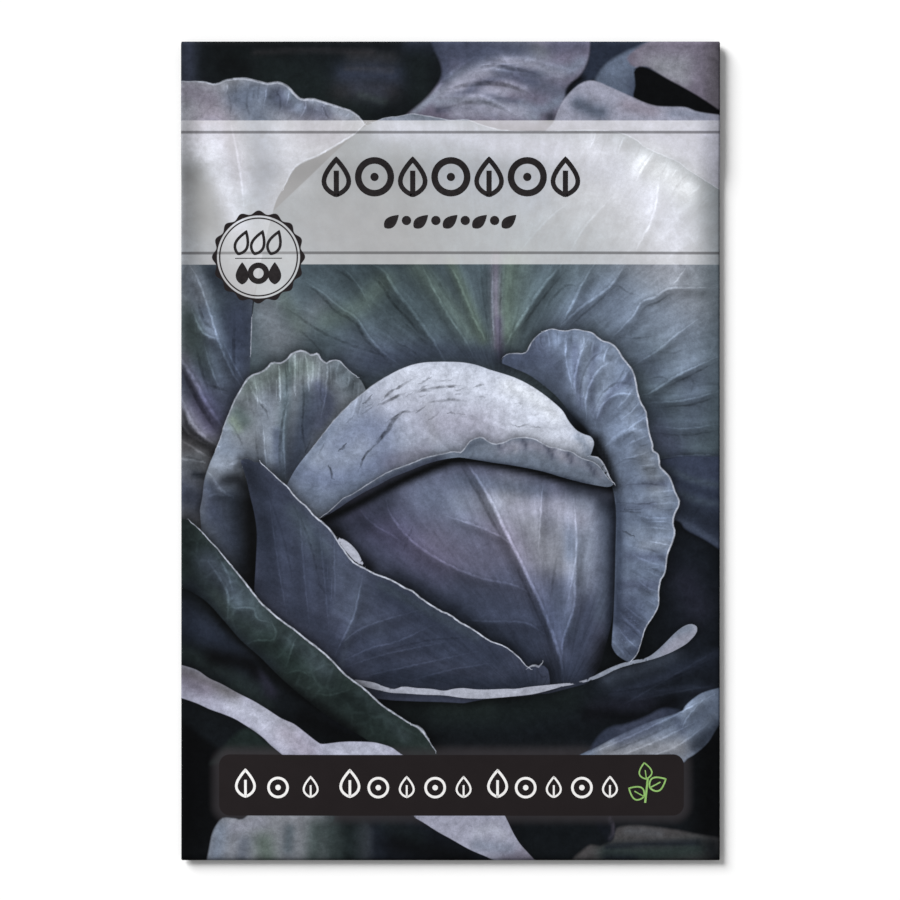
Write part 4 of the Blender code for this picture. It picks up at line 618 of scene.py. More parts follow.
FOLDS = [
    (0.14, 0.95, (-13.9, -2.8), (-13.4, -1.4), (-12.6, -0.1), (-11.6, 0.8)), (0.30, 1.0, (-11.8, 0.6), (-10.6, 2), (-9.6, 3.2), (-8.6, 4.8), (-7.6, 5.7)), (0.15, 0.85, (-8, 5.6), (-7.2, 6), (-6, 6)), (0.19, 1.0, (-10.2, 7.9), (-9.4, 8.8), (-8.6, 9.4)), (0.20, 0.95, (-10.7, 7.1), (-9, 7.9), (-7.2, 8.8)), (0.16, 0.9, (-8.8, 9.2), (-7.4, 10), (-6, 10.9)),
    (0.14, 0.8, (-13, 7.4), (-12.2, 8.2)), (0.27, 0.85, (-5.4, 9.1), (-4.2, 9.3), (-3.4, 9.2)), (0.17, 0.8, (-4, 9.4), (-1, 9.8), (1.6, 10)), (0.17, 0.65, (-3.4, 7.4), (0, 7.8), (2, 7.7)), (0.15, 0.85, (-18.4, -2.6), (-18, -4)), (0.20, 0.8, (-16.6, 0.3), (-16.2, 0.7)), (0.08, 0.45, (-20, -0.4), (-19.4, 0.8)), (0.10, 0.4, (-22, 0.2), (-21.4, 1.4)),
    # Between the ribs of the back leaves.
    (0.18, 0.55, (-23, 25.6), (-20.5, 24.4), (-17.6, 21.4), (-14.6, 19.6), (-12.8, 16.8), (-10.8, 15), (-9, 13)), (0.16, 0.5, (-25, 21.8), (-23, 20.4), (-19.4, 18), (-13.6, 15.6), (-10, 14.6)), (0.14, 0.45, (-22.8, 18.2), (-21.4, 17), (-19.2, 14.6)), (0.14, 0.4, (-17.6, 27.8), (-16, 26.8), (-14.4, 25.4)),
    (0.18, 0.55, (-12.6, 27), (-10.8, 25.6), (-8.8, 22.6), (-6.2, 19.8), (-4.4, 17.2)), (0.12, 0.4, (-9.6, 18.2), (-8, 16.4), (-6.2, 15.6), (-4.6, 14.2)), (0.10, 0.35, (-7.6, 20), (-6, 18.6), (-3.8, 16.4)), (0.14, 0.5, (7.9, 29), (7.6, 22), (7.5, 15)),
    (0.14, 0.5, (17.6, 27.6), (14.8, 24.2), (12.4, 21.2), (11, 19)), (0.14, 0.45, (20.4, 25), (18, 25.4), (17, 24.8), (15.6, 23.4), (14.8, 22.2)), (0.14, 0.5, (25, 25), (22.6, 22.8), (20.2, 20.8), (18.2, 19)), (0.12, 0.5, (24.6, 25.4), (26, 25), (27.2, 24.2), (28.4, 24)),
    (0.12, 0.5, (33.8, 24.2), (31.8, 22.8), (29.8, 22), (28.6, 20.2)), (0.12, 0.5, (41.2, 13.9), (36.4, 11.4), (33, 9.8)), (0.12, 0.5, (41.2, 8.4), (38, 7.4), (35.6, 6.9), (31, 6.6)), (0.12, 0.4, (30.2, 11), (32, 11.4), (33.6, 10.8)), (0.14, 0.45, (36.6, 11.4), (37.2, 10.4), (36.8, 9)),
    (0.14, 0.4, (26, 17.4), (28, 17.2), (31, 17.6)), (0.12, 0.4, (41.2, 3.2), (36, 2.4), (31.2, 2.8)), (0.2, 0.4, (-3.4, 28), (-1.4, 25), (0.4, 22)), (0.16, 0.35, (4.6, 28), (5.2, 22), (6, 17.6)), (0.14, 0.3, (37, 16), (34, 15), (31, 15.4)),
    (0.26, 0.65, (-41.2, 12.6), (-39.8, 9.8), (-38, 6.4), (-35.8, 3)), (0.24, 0.55, (-33, 20), (-33.2, 15), (-33, 11)), (0.2, 0.7, (-36.8, 10), (-35.6, 9.6), (-34.6, 9.4)), (0.2, 0.6, (-41.2, 6.6), (-40, 3.4), (-37.6, 1.6)), (0.14, 0.5, (-40, -1), (-38.6, -1.4)), (0.18, 0.5, (-39, 16), (-38, 12), (-37, 9)), (0.2, 0.6, (-38.8, 23), (-37.8, 20), (-36.4, 18.6)),
    # Folds of the ruffled leaves and the dark leaf.
    (0.12, 0.65, (-29.4, 7.9), (-28.8, 6.8), (-28.2, 6.2), (-27.9, 5)), (0.2, 0.6, (-25.9, -4), (-26.1, 0), (-25.7, 4), (-24.9, 8)), (0.14, 0.55, (-22, 0), (-22.6, 3), (-22.4, 8), (-22.8, 12)), (0.12, 0.45, (-25.2, 13), (-25, 9)), (0.12, 0.45, (-19.6, 12.4), (-19.9, 8)), (0.12, 0.45, (-33.8, 4.4), (-32.6, 2.6), (-31.6, 0.4)), (0.12, 0.4, (-29.8, 4), (-29.6, 0), (-29.2, -2)),
    (0.10, 0.6, (25.6, -7.9), (29.6, -8.1), (31.4, -7.8)), (0.10, 0.5, (25.8, -9.2), (28.6, -9.4)), (0.13, 0.65, (26.8, -12.4), (27.6, -12.9)), (0.10, 0.4, (25.4, -2), (27, -1.2), (29, -1.4)), (0.10, 0.45, (27, -5.2), (30, -5), (33, -5.4)), (0.14, 0.5, (24, 15.6), (22, 14.4), (20.4, 12), (19.8, 9), (20, 6)), (0.14, 0.5, (28.2, 10), (25.6, 10.4), (23.4, 9), (22, 6.6)),
    (0.14, 0.35, (-24.6, -7), (-21.8, -13), (-20, -20)), (0.14, 0.35, (-28, -6), (-25.6, -13), (-23.8, -21)), (0.12, 0.35, (-12, -31), (-4, -29), (3, -28.4)), (0.14, 0.35, (-6, -12), (-7, -14.6)), (0.2, 0.5, (1.7, -2.4), (4, -6.2), (6.4, -10.8), (8, -13.6)), (0.14, 0.4, (9.6, -17), (12, -22), (14.6, -28)),
    (0.10, 0.55, (13.4, -33.6), (14, -34.6), (14.8, -34.2)), (0.14, 0.4, (24, -37), (31, -35.8), (40, -32)), (0.16, 0.4, (16, -17), (15.6, -20), (15.2, -23)), (0.16, 0.45, (-19.8, -20.6), (-19.3, -21.4)),
    (0.30, 0.7, (3.4, 58.2), (6.4, 59), (9, 58.6), (12.6, 58)), (0.30, 0.7, (-0.6, 55.3), (2, 55.9), (5, 56.3), (8.6, 56), (11.6, 54.8)), (0.26, 0.6, (-1, 52.4), (3, 53.4), (6.6, 53), (9.6, 51.4)),
    (0.12, 0.4, (23, -46.6), (29, -44.2), (35, -41.4)), (0.16, 0.4, (-34, 54.6), (-33.6, 53), (-33.8, 51.6)), (0.16, 0.4, (-31, 55), (-31.2, 53), (-30.8, 51.4)), (0.16, 0.45, (-26.6, 55), (-26, 53.4), (-26.4, 51.6)), (0.14, 0.4, (-19.4, 52.4), (-19, 51.4)),
]


def rim_bends(run, towards, pitch, seed, longest):
    """Short bends running in from a ruffled rim, light and dark by turns."""
    chance = random.Random(seed)
    rim = smooth_run(run)
    light, dark = [], []
    travelled = 0.0
    for before, here in zip(rim, rim[1:]):
        travelled += float(np.linalg.norm(here - before))
        if travelled < pitch * chance.uniform(0.6, 1.3):
            continue
        travelled = 0.0
        way = np.array(towards) - here
        way = way / np.linalg.norm(way)
        across = np.array((-way[1], way[0]))
        length = chance.uniform(0.35, 1.0) * longest
        sway = chance.uniform(-0.4, 0.4)
        points = [tuple(here + way * length * t + across * sway * math.sin(3 * t)) for t in (0.08, 0.4, 0.7, 1.0)]
        (dark if len(dark) < len(light) else light).append((chance.uniform(0.08, 0.15), chance.uniform(0.16, 0.4), *points))
    return light, dark


for run, towards, pitch, seed, longest in (
    (LEFT_RUFFLE_RIM[9:], (-24, -40), 1.0, 3, 6.0), (RIGHT_RUFFLE_RIM[5:32], (17, -4), 1.3, 4, 5.0), (RIGHT_RUFFLE_RIM[32:51], (8, -9), 1.1, 6, 5.5),
    (FIRST_RIM[2:], (-34, 20), 1.8, 8, 3.5), (BACK_RIM[12:], (10, 10), 2.4, 9, 6.0),
):
    light, dark = rim_bends(run, towards, pitch, seed, longest)
    VEINS += light
    FOLDS += dark
FOLDS += scratches()


RELIEF = 0.34


def line_families(lines, room=1.3):
    """Sorts lines into families whose members keep this far apart, so that each spot has one nearest line."""
    families = []
    for width, strength, *points in lines:
        run = smooth_run(points, 4)
        for family in families:
            if all(np.linalg.norm(run[:, None] - other[None], axis=2).min() > room for _, _, other in family):
                break
        else:
            family = []
            families.append(family)
        family.append((width, strength, run))
    return families


def lines_field(spots, family, fade):
    """For each spot, by its nearest line: signed distance, distance, half width and strength."""
    starts, ends, widths, strengths = [], [], [], []
    for width, strength, run in family:
        count = len(run) - 1
        for i in range(count):
            near_end = min(i + 0.5, count - i - 0.5) / max(count, 2)
            starts.append(run[i])
            ends.append(run[i + 1])
            widths.append(width * min(1.0, 0.4 + 2.4 * near_end))
            strengths.append(strength * min(1.0, 1 - fade + 4 * fade * near_end))
    gap, side, which, _ = nearest(spots, starts, ends)
    return np.stack([gap * side, gap, np.array(widths)[which], np.array(strengths)[which]], axis=-1)


def cast_relief(leaves, spots, run, amount, reach=0.8):
    """Lightens a leaf above a vein drawn on it and darkens it below, fading away from the vein."""
    middle = run[len(run) // 2][None]
    leaf = [leaf for leaf in leaves if inside(middle, leaf.loop)[0]][-1]
    near = np.all((spots > run.min(axis=0) - 3 * reach) & (spots < run.max(axis=0) + 3 * reach), axis=1)
    gap, side, which, share = nearest(spots[near], run[:-1], run[1:])
    upward = 1.0 if run[-1, 0] >= run[0, 0] else -1.0
    along = (which + share) / (len(run) - 1)
    ends = np.clip(5 * np.minimum(along, 1 - along), 0, 1)
    shade = RELIEF * amount * side * upward * gap / reach * np.exp(0.5 - 0.5 * (gap / reach) ** 2) * ends
    leaf.colour[near] *= (1 + shade)[:, None]


def drawn_picture(piece, u, v):
    """Lays the picture on a piece of the sheet as colours and distances at its points."""
    spots = np.stack([u, v], axis=-1) / MM
    leaves = picture_leaves()
    top = np.zeros(len(spots), int)
    for number, leaf in enumerate(leaves):
        leaf.paint(spots)
        top[leaf.inset > 0] = number
        if leaf.shade:
            dark = 1 - leaf.shade * np.exp(np.minimum(0, leaf.inset) / leaf.reach) * (leaf.inset < 0.4)
            for under in leaves[:number]:
                under.colour = under.colour * dark[:, None]
    for _, strength, *points in VEINS:
        cast_relief(leaves, spots, smooth_run(points, 4), strength)
    flow = np.concatenate([spots * 0.9, np.zeros((len(spots), 1))], axis=1)
    for number, leaf in enumerate(leaves):
        if leaf.fan:
            away = spots - np.array(leaf.fan)
            turn = np.arctan2(away[:, 1], away[:, 0])
            own = np.stack([turn * 26, np.linalg.norm(away, axis=1) * 0.16, np.full(len(spots), 7.0)], axis=1)
            flow = np.where((top == number)[:, None], own, flow)
    net = np.array([leaf.net for leaf in leaves])[top]
    for number, leaf in enumerate(leaves):
        values = np.concatenate([linear(np.clip(leaf.colour, 0, 1)), leaf.inset[:, None]], axis=1)
        add_colours(piece, "leaf_%02d" % number, values)
    counts = {}
    for kind, lines, fade in (("fold", FOLDS, 0.8), ("vein", VEINS, 0.8), ("rim", RIMS, 0.2)):
        families = line_families(lines)
        counts[kind] = len(families)
        for number, family in enumerate(families):
            add_colours(piece, "%s_%d" % (kind, number), lines_field(spots, family, fade))
    add_vectors(piece, "flow", flow)
    add_vectors(piece, "blank", np.concatenate([spots, net[:, None]], axis=1))
    return leaves, counts


# ---------------------------------------------------------------- materials


class Recipe:
    """A material's nodes, added one after another."""

    def __init__(self, name, roughness=0.5, specular=0.4):
        self.material = bpy.data.materials.new(name)
        self.material.use_nodes = True
        self.tree = self.material.node_tree
        self.shader = self.tree.nodes["Principled BSDF"]
        self.shader.inputs["Roughness"].default_value = roughness
        self.shader.inputs["Specular IOR Level"].default_value = specular

    def node(self, kind, **settings):
        node = self.tree.nodes.new(kind)
        for name, value in settings.items():
            setattr(node, name, value)
        return node

    def feed(self, socket, value):
        if isinstance(value, bpy.types.NodeSocket):
            self.tree.links.new(value, socket)
        else:
            socket.default_value = value

    def sums(self, operation, *values, clamp=False):
        node = self.node("ShaderNodeMath", operation=operation, use_clamp=clamp)
        for socket, value in zip(node.inputs, values):
            self.feed(socket, value)
        return node.outputs[0]

    def ramp(self, value, low, high, start=0.0, end=1.0, smooth=True):
        node = self.node("ShaderNodeMapRange", interpolation_type="SMOOTHSTEP" if smooth else "LINEAR")
        for name, given in (("Value", value), ("From Min", low), ("From Max", high), ("To Min", start), ("To Max", end)):
            self.feed(node.inputs[name], given)
        return node.outputs["Result"]

    def blend(self, share, under, over, way="MIX"):
        node = self.node("ShaderNodeMix", data_type="RGBA", blend_type=way)
        self.feed(node.inputs[0], share)
        self.feed(node.inputs[6], under)
        self.feed(node.inputs[7], over)
        return node.outputs[2]

    def attribute(self, name):
        return self.node("ShaderNodeAttribute", attribute_name=name)

    def parts(self, vector):
        node = self.node("ShaderNodeSeparateXYZ")
        self.feed(node.inputs[0], vector)
        return node.outputs

    def noise(self, vector, scale, detail=4.0, roughness=0.55, distortion=0.0):
        node = self.node("ShaderNodeTexNoise")
        self.feed(node.inputs["Vector"], vector)
        node.inputs["Scale"].default_value = scale
        node.inputs["Detail"].default_value = detail
        node.inputs["Roughness"].default_value = roughness
        node.inputs["Distortion"].default_value = distortion
        return node.outputs[0]

    def object_place(self):
        return self.node("ShaderNodeTexCoord").outputs["Object"]

    def bump(self, height, strength, distance):
        node = self.node("ShaderNodeBump")
        node.inputs["Strength"].default_value = strength
        node.inputs["Distance"].default_value = distance
        self.feed(node.inputs["Height"], height)
        self.feed(self.shader.inputs["Normal"], node.outputs[0])

    def colour(self, value):
        self.feed(self.shader.inputs["Base Color"], value)
        return self.material


def solid(name):
    return (*linear(ink(name)), 1.0)


def grey(level):
    return (*linear(np.array([level] * 3)), 1.0)


LABEL_INK = (*linear(np.array([0.137, 0.120, 0.124])), 1.0)
BAND_LOW, BAND_HIGH = 28.55, 50.6
BAND_WHITE, BAND_KEEPS = (0.352, 0.347, 0.349, 1.0), 0.77
RULES = (48.8, 30.32)
SEAL_PLACE = (-29.4, 29.7)
LABEL_HALF, LABEL_PLACE, LABEL_CORNER = (35.6, 4.7), (0.15, -51.15), 1.7


def scaled(mix, colour, factor):
    node = mix.node("ShaderNodeVectorMath", operation="SCALE")
    mix.feed(node.inputs[0], colour)
    mix.feed(node.inputs["Scale"], factor)
    return node.outputs[0]


def line_share(mix, name, wobble, core, edge):
    """How far a spot belongs to the lines of this family."""
    own = mix.attribute(name)
    signed, gap, width = mix.parts(own.outputs["Color"])
    off = mix.sums("ABSOLUTE", mix.sums("ADD", signed, wobble))
    start = mix.sums("MULTIPLY", width, core)
    share = mix.ramp(off, start, mix.sums("MULTIPLY_ADD", width, edge, 0.06), 1.0, 0.0)
    close = mix.ramp(gap, mix.sums("ADD", width, 0.42), mix.sums("ADD", width, 0.52), 1.0, 0.0)
    return mix.sums("MULTIPLY", mix.sums("MULTIPLY", share, close), own.outputs["Alpha"], clamp=True)


def front_print_material(leaves, counts):
    """The printed picture with its pale band, seal and label, the paper's faint tooth and painted shade towards the
    folds.
    """
    mix = Recipe("front_print", roughness=0.72, specular=0.04)
    colour = mix.attribute("leaf_00").outputs["Color"]
    for number, leaf in enumerate(leaves[1:], start=1):
        own = mix.attribute("leaf_%02d" % number)
        colour = mix.blend(mix.ramp(own.outputs["Alpha"], -leaf.soft, leaf.soft), colour, own.outputs["Color"])
    blank = mix.attribute("blank").outputs["Vector"]
    flow = mix.attribute("flow").outputs["Vector"]
    x, y, net = mix.parts(blank)

    # A fine net of small veins, then the drawn folds and veins, a little uneven along their length.
    cells = mix.node("ShaderNodeTexVoronoi", feature="DISTANCE_TO_EDGE")
    mix.feed(cells.inputs["Vector"], blank)
    cells.inputs["Scale"].default_value = 0.42
    thread = mix.ramp(cells.outputs["Distance"], 0.0, 0.16, 1.0, 0.0)
    patches = mix.ramp(mix.noise(blank, 0.16, 2.0), 0.4, 0.6, 0.2, 1.0)
    thread = mix.sums("MULTIPLY", mix.sums("MULTIPLY", thread, net), patches)
    colour = scaled(mix, colour, mix.sums("MULTIPLY_ADD", thread, 1.0, 0.97))
    wobble = mix.ramp(mix.noise(blank, 1.1, 3.0), 0.2, 0.8, -0.13, 0.13, smooth=False)
    uneven = mix.ramp(mix.noise(blank, 0.8, 3.0), 0.3, 0.7, 0.45, 1.15)
    for kind, change, core, edge in (("fold", -0.75, 0.45, 1.5), ("vein", 1.8, 0.1, 1.6)):
        for number in range(counts[kind]):
            share = line_share(mix, "%s_%d" % (kind, number), wobble, core, edge)
            share = mix.sums("MULTIPLY", share, uneven)
            colour = scaled(mix, colour, mix.sums("MULTIPLY_ADD", share, change, 1.0))
    for number in range(counts["rim"]):
        share = line_share(mix, "rim_%d" % number, mix.sums("MULTIPLY", wobble, 0.5), 0.15, 1.15)
        colour = mix.blend(mix.sums("MULTIPLY", share, uneven), colour, solid("frost"))
    for vector, scale, detail, low, high in (
        (flow, 0.75, 6.0, 0.80, 1.22), (blank, 0.5, 8.0, 0.87, 1.14), (blank, 2.2, 5.0, 0.87, 1.13), (blank, 5.5, 2.0, 0.91, 1.09)
    ):
        tint = mix.ramp(mix.noise(vector, scale, detail, 0.62, 0.4), 0.3, 0.7, low, high, smooth=False)
        colour = scaled(mix, colour, tint)

    crisp = 0.05
    band = mix.sums("MULTIPLY", mix.ramp(y, BAND_LOW - crisp, BAND_LOW + crisp), mix.ramp(y, BAND_HIGH - crisp, BAND_HIGH + crisp, 1.0, 0.0))
    side = mix.sums("ABSOLUTE", x)
    sx = mix.sums("SUBTRACT", x, SEAL_PLACE[0])
    sy = mix.sums("SUBTRACT", y, SEAL_PLACE[1])
    away = mix.sums("SQRT", mix.sums("ADD", mix.sums("MULTIPLY", sx, sx), mix.sums("MULTIPLY", sy, sy)))
    band = mix.sums("MAXIMUM", band, mix.ramp(away, 6.36 - crisp, 6.36 + crisp, 1.0, 0.0))
    # Painted shade: the band's white is thinned towards the side folds, along with the print's painted shade there.
    band = mix.sums("MULTIPLY", band, mix.ramp(side, 36.5, 41.6, 1.0, 0.45))
    colour = scaled(mix, colour, mix.sums("MULTIPLY_ADD", band, BAND_KEEPS - 1, 1.0))
    colour = mix.blend(band, colour, BAND_WHITE, way="ADD")
    for place in RULES:
        off = mix.sums("ABSOLUTE", mix.sums("SUBTRACT", y, place))
        colour = mix.blend(mix.ramp(off, 0.14, 0.28, 0.66, 0.0), colour, solid("bark"))

    for low_edge, high_edge, strength in ((RULES[0] + 0.3, BAND_HIGH, 0.06), (BAND_LOW, RULES[1] - 0.3, 0.02)):
        strip = mix.sums("MULTIPLY", mix.ramp(y, low_edge - crisp, low_edge + crisp), mix.ramp(y, high_edge - crisp, high_edge + crisp, strength, 0.0))
        colour = mix.blend(strip, colour, grey(0.97))

    # The label is a rounded dark panel with a faint glow round it.
    across = mix.sums("MAXIMUM", mix.sums("SUBTRACT", mix.sums("ABSOLUTE", mix.sums("SUBTRACT", x, LABEL_PLACE[0])), LABEL_HALF[0] - LABEL_CORNER), 0.0)
    along = mix.sums("MAXIMUM", mix.sums("SUBTRACT", mix.sums("ABSOLUTE", mix.sums("SUBTRACT", y, LABEL_PLACE[1])), LABEL_HALF[1] - LABEL_CORNER), 0.0)
    reach = mix.sums("SUBTRACT", mix.sums("SQRT", mix.sums("ADD", mix.sums("MULTIPLY", across, across), mix.sums("MULTIPLY", along, along))), LABEL_CORNER)
    colour = mix.blend(mix.ramp(reach, 0.0, 1.9, 0.62, 0.0), colour, solid("bark"), way="LIGHTEN")
    colour = mix.blend(mix.ramp(reach, -crisp, crisp, 1.0, 0.0), colour, LABEL_INK)

    # The seal: a scalloped dark edge, a pale ring, a thin dark ring and a pale middle.
    turn = mix.sums("MULTIPLY", mix.sums("ARCTAN2", sy, sx), 16.0)
    scallop = mix.sums("MULTIPLY_ADD", mix.sums("COSINE", turn), 0.27, 6.88)
    edge = mix.sums("MULTIPLY", mix.ramp(away, 6.33, 6.41), mix.ramp(mix.sums("SUBTRACT", away, scallop), -crisp, crisp, 1.0, 0.0))
    ring = mix.ramp(mix.sums("ABSOLUTE", mix.sums("SUBTRACT", away, 5.96)), 0.07, 0.15, 1.0, 0.0)
    inner = mix.sums("MULTIPLY", mix.ramp(away, 6.33, 6.41, 1.0, 0.0), 0.12)
    colour = mix.blend(inner, colour, grey(0.97))
    colour = mix.blend(mix.sums("MAXIMUM", edge, ring), colour, LABEL_INK)
    tooth = mix.ramp(mix.noise(blank, 0.35, 5.0), 0.3, 0.7, 0.95, 1.04, smooth=False)

    # Painted shade darkens the print towards the packet's folds and ends, where the paper turns from the light.
    dim = mix.sums("MULTIPLY", mix.ramp(side, 36.8, 41.2, 1.0, 0.72), mix.ramp(side, 40.9, 41.6, 1.0, 0.7))
    dim = mix.sums("MULTIPLY", dim, mix.ramp(mix.sums("ABSOLUTE", y), 61.2, 62.6, 1.0, 0.75))
    dim = mix.sums("MULTIPLY", dim, tooth)
    mix.bump(mix.noise(mix.object_place(), 2600.0, 4.0, 0.6), 0.08, 0.00003)
    return mix.colour(scaled(mix, colour, dim))


def sheet_outside_material():
    """The outside of the sheet: dark print wrapped over the folds, then a white back with grey rules and panels."""
    mix = Recipe("packet_back_print", roughness=0.7, specular=0.12)
    blank = mix.attribute("blank").outputs["Vector"]
    x, y, _ = mix.parts(blank)
    place = mix.object_place()
    fibres = mix.ramp(mix.noise(place, 900.0, 6.0, 0.65), 0.25, 0.75, 0.0, 1.0, smooth=False)
    colour = mix.blend(fibres, (0.74, 0.73, 0.70, 1), (0.84, 0.83, 0.81, 1))
    bottom, top = PANEL_BOTTOM / MM, PANEL_TOP / MM
    down = mix.sums("SUBTRACT", mix.sums("MULTIPLY", y, -1.0), bottom)

    def strip(value, low, high, soft=0.08):
        return mix.sums("MULTIPLY", mix.ramp(value, low - soft, low + soft), mix.ramp(value, high - soft, high + soft, 1.0, 0.0))

    # Rows of fine grey rules stand where the growing notes would be.
    rows = mix.sums("PINGPONG", down, 1.6)
    fine = mix.ramp(rows, 0.0, 0.45, 1.0, 0.0)
    notes = mix.sums("MULTIPLY", strip(down, 40.0, 92.0), strip(mix.sums("ABSOLUTE", x), -1.0, 33.0))
    colour = mix.blend(mix.sums("MULTIPLY", mix.sums("MULTIPLY", fine, notes), 0.55), colour, solid("ash"))
    for low, high, tone, half in ((3.0, 14.0, "violet", 34.0), (20.0, 30.0, "sage", 34.0), (97.0, 106.0, "indigo", 34.0)):
        panel = mix.sums("MULTIPLY", strip(down, low, high), mix.ramp(mix.sums("ABSOLUTE", x), half - 0.08, half + 0.08, 1.0, 0.0))
        speck = mix.blend(mix.noise(place, 400.0, 5.0), solid(tone), solid("haze"))
        colour = mix.blend(mix.sums("MULTIPLY", panel, 0.85), colour, speck)
    cells = mix.sums("MULTIPLY", strip(down, 20.0, 30.0), mix.ramp(mix.sums("PINGPONG", mix.sums("ADD", x, 34.0), 2.834), 0.05, 0.3, 1.0, 0.0))
    colour = mix.blend(cells, colour, grey(0.9))
    fold = mix.sums("MAXIMUM", mix.ramp(mix.sums("ABSOLUTE", x), PANEL_HALF_WIDTH / MM - 0.02, PANEL_HALF_WIDTH / MM), mix.ramp(y, -bottom - 2.2, -bottom - 1.9))
    fold = mix.sums("MULTIPLY", fold, mix.ramp(y, -bottom - 2.2, -bottom - 1.9))
    fold = mix.sums("MULTIPLY", fold, mix.ramp(y, top + 2.9, top + 3.2, 1.0, 0.0))
    colour = mix.blend(fold, colour, solid("soot"))
    mix.bump(mix.noise(place, 1400.0, 5.0, 0.65), 0.15, 0.00005)
    return mix.colour(colour)


def raw_paper_material():
    """Unprinted paper: the inside of the packet and its cut edges."""
    mix = Recipe("raw_paper", roughness=0.8, specular=0.2)
    place = mix.object_place()
    fibres = mix.noise(place, 1500.0, 7.0, 0.7)
    mix.bump(fibres, 0.25, 0.00005)
    return mix.colour(mix.blend(fibres, (0.62, 0.60, 0.56, 1), (0.86, 0.85, 0.82, 1)))


def glue_material():
    mix = Recipe("dried_glue", roughness=0.35, specular=0.5)
    place = mix.object_place()
    cloud = mix.noise(place, 700.0, 5.0, 0.6)
    mix.bump(cloud, 0.3, 0.00003)
    return mix.colour(mix.blend(cloud, (0.56, 0.50, 0.36, 1), (0.74, 0.70, 0.58, 1)))


def seed_material():
    mix = Recipe("seed_coat", roughness=0.6, specular=0.35)
    place = mix.object_place()
    patches = mix.noise(place, 420.0, 4.0, 0.6)
    pits = mix.noise(place, 3800.0, 4.0, 0.65)
    colour = mix.blend(patches, (0.040, 0.018, 0.014, 1), (0.115, 0.048, 0.032, 1))
    colour = mix.blend(mix.ramp(pits, 0.35, 0.7, 0.0, 0.4), colour, (0.20, 0.11, 0.08, 1))
    mix.bump(pits, 0.4, 0.00005)
    return mix.colour(colour)


def ornament_material(name, low, high):
    """Flat printing ink, a little uneven."""
    mix = Recipe(name, roughness=0.7, specular=0.04)
    cover = mix.ramp(mix.noise(mix.object_place(), 1800.0, 5.0, 0.6), 0.3, 0.7, 0.0, 1.0, smooth=False)
    return mix.colour(mix.blend(cover, (*low, 1.0), (*high, 1.0)))


# ---------------------------------------------------------------- the packet


def film_lines(panel_start, panel_end, low_radius, high_radius):
    turn = 0.55 * math.pi
    low = [-t for t in reversed(evenly(0, turn * low_radius, turn * low_radius / 4))]
    lines = [panel_start + t for t in low] + [panel_start]
    lines += evenly(panel_start, panel_end, FILM_CELL)
    lines += evenly(panel_end, panel_end + turn * high_radius, turn * high_radius / 4)
    return lines


def make_front_film():
    """The printed face: a fine film over the front panel that turns over its folds."""
    columns = film_lines(-PANEL_HALF_WIDTH, PANEL_HALF_WIDTH, SIDE_FOLD_RADIUS, SIDE_FOLD_RADIUS)
    rows = film_lines(-PANEL_BOTTOM, PANEL_TOP, BOTTOM_FOLD_RADIUS, TOP_FOLD_RADIUS)
    film, u, v = folded_grid(columns, rows, PAPER_THICKNESS / 2 - FILM_SEAT, notched=False)
    leaves, counts = drawn_picture(film, u, v)
    lay_out_print(film, u, v)
    thicken(film, FILM_THICKNESS, -1.0)
    return finish_piece(film, "front_print_film", [front_print_material(leaves, counts)])


def lay_out_print(film, u, v):
    """The print's own layout, filling the height of the picture."""
    layout = film.data.uv_layers.new(name="OFBake")
    tall = v.max() - v.min()
    corner = np.empty(len(film.data.loops), int)
    film.data.loops.foreach_get("vertex_index", corner)
    place = np.stack([(u - u.min()) / tall, (v - v.min()) / tall], axis=-1)[corner]
    layout.data.foreach_set("uv", place.ravel().astype(np.float32))


def make_sheet():
    """The whole folded blank, with its side flaps, back panel and top flap."""
    side_end = PANEL_HALF_WIDTH + math.pi * SIDE_FOLD_RADIUS
    right = [PANEL_HALF_WIDTH, *evenly(PANEL_HALF_WIDTH, side_end, math.pi * SIDE_FOLD_RADIUS / 8)]
    right += evenly(side_end, side_end + SIDE_FLAP_WIDTH, SHEET_CELL)
    columns = [-c for c in reversed(right)] + evenly(-PANEL_HALF_WIDTH, PANEL_HALF_WIDTH, SHEET_CELL)[:-1] + right
    bottom_end = PANEL_BOTTOM + math.pi * BOTTOM_FOLD_RADIUS
    top_end = PANEL_TOP + math.pi * TOP_FOLD_RADIUS
    rows = [-(bottom_end + d) for d in reversed(evenly(0, BACK_LENGTH, SHEET_CELL))] + [-bottom_end]
    rows += evenly(-bottom_end, -PANEL_BOTTOM, math.pi * BOTTOM_FOLD_RADIUS / 8)
    rows += evenly(-PANEL_BOTTOM, STEP_UP_START, SHEET_CELL)
    rows += evenly(STEP_UP_START, STEP_UP_END, SHEET_CELL / 5)
    rows += evenly(STEP_UP_END, PANEL_TOP, SHEET_CELL)
    rows += evenly(PANEL_TOP, top_end, math.pi * TOP_FOLD_RADIUS / 8)
    rows += evenly(top_end, top_end + TOP_FLAP_LENGTH, SHEET_CELL)
    sheet, u, v = folded_grid(columns, rows, 0.0, notched=True)
    add_vectors(sheet, "blank", np.stack([u / MM, v / MM, 0 * u], axis=-1))
    finish_piece(sheet, "folded_sheet", [sheet_outside_material(), raw_paper_material()])
    thicken(sheet, SHEET_THICKNESS, 0.0, inner_slot=1, rim_slot=1)
    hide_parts("packet_paper")
    return sheet


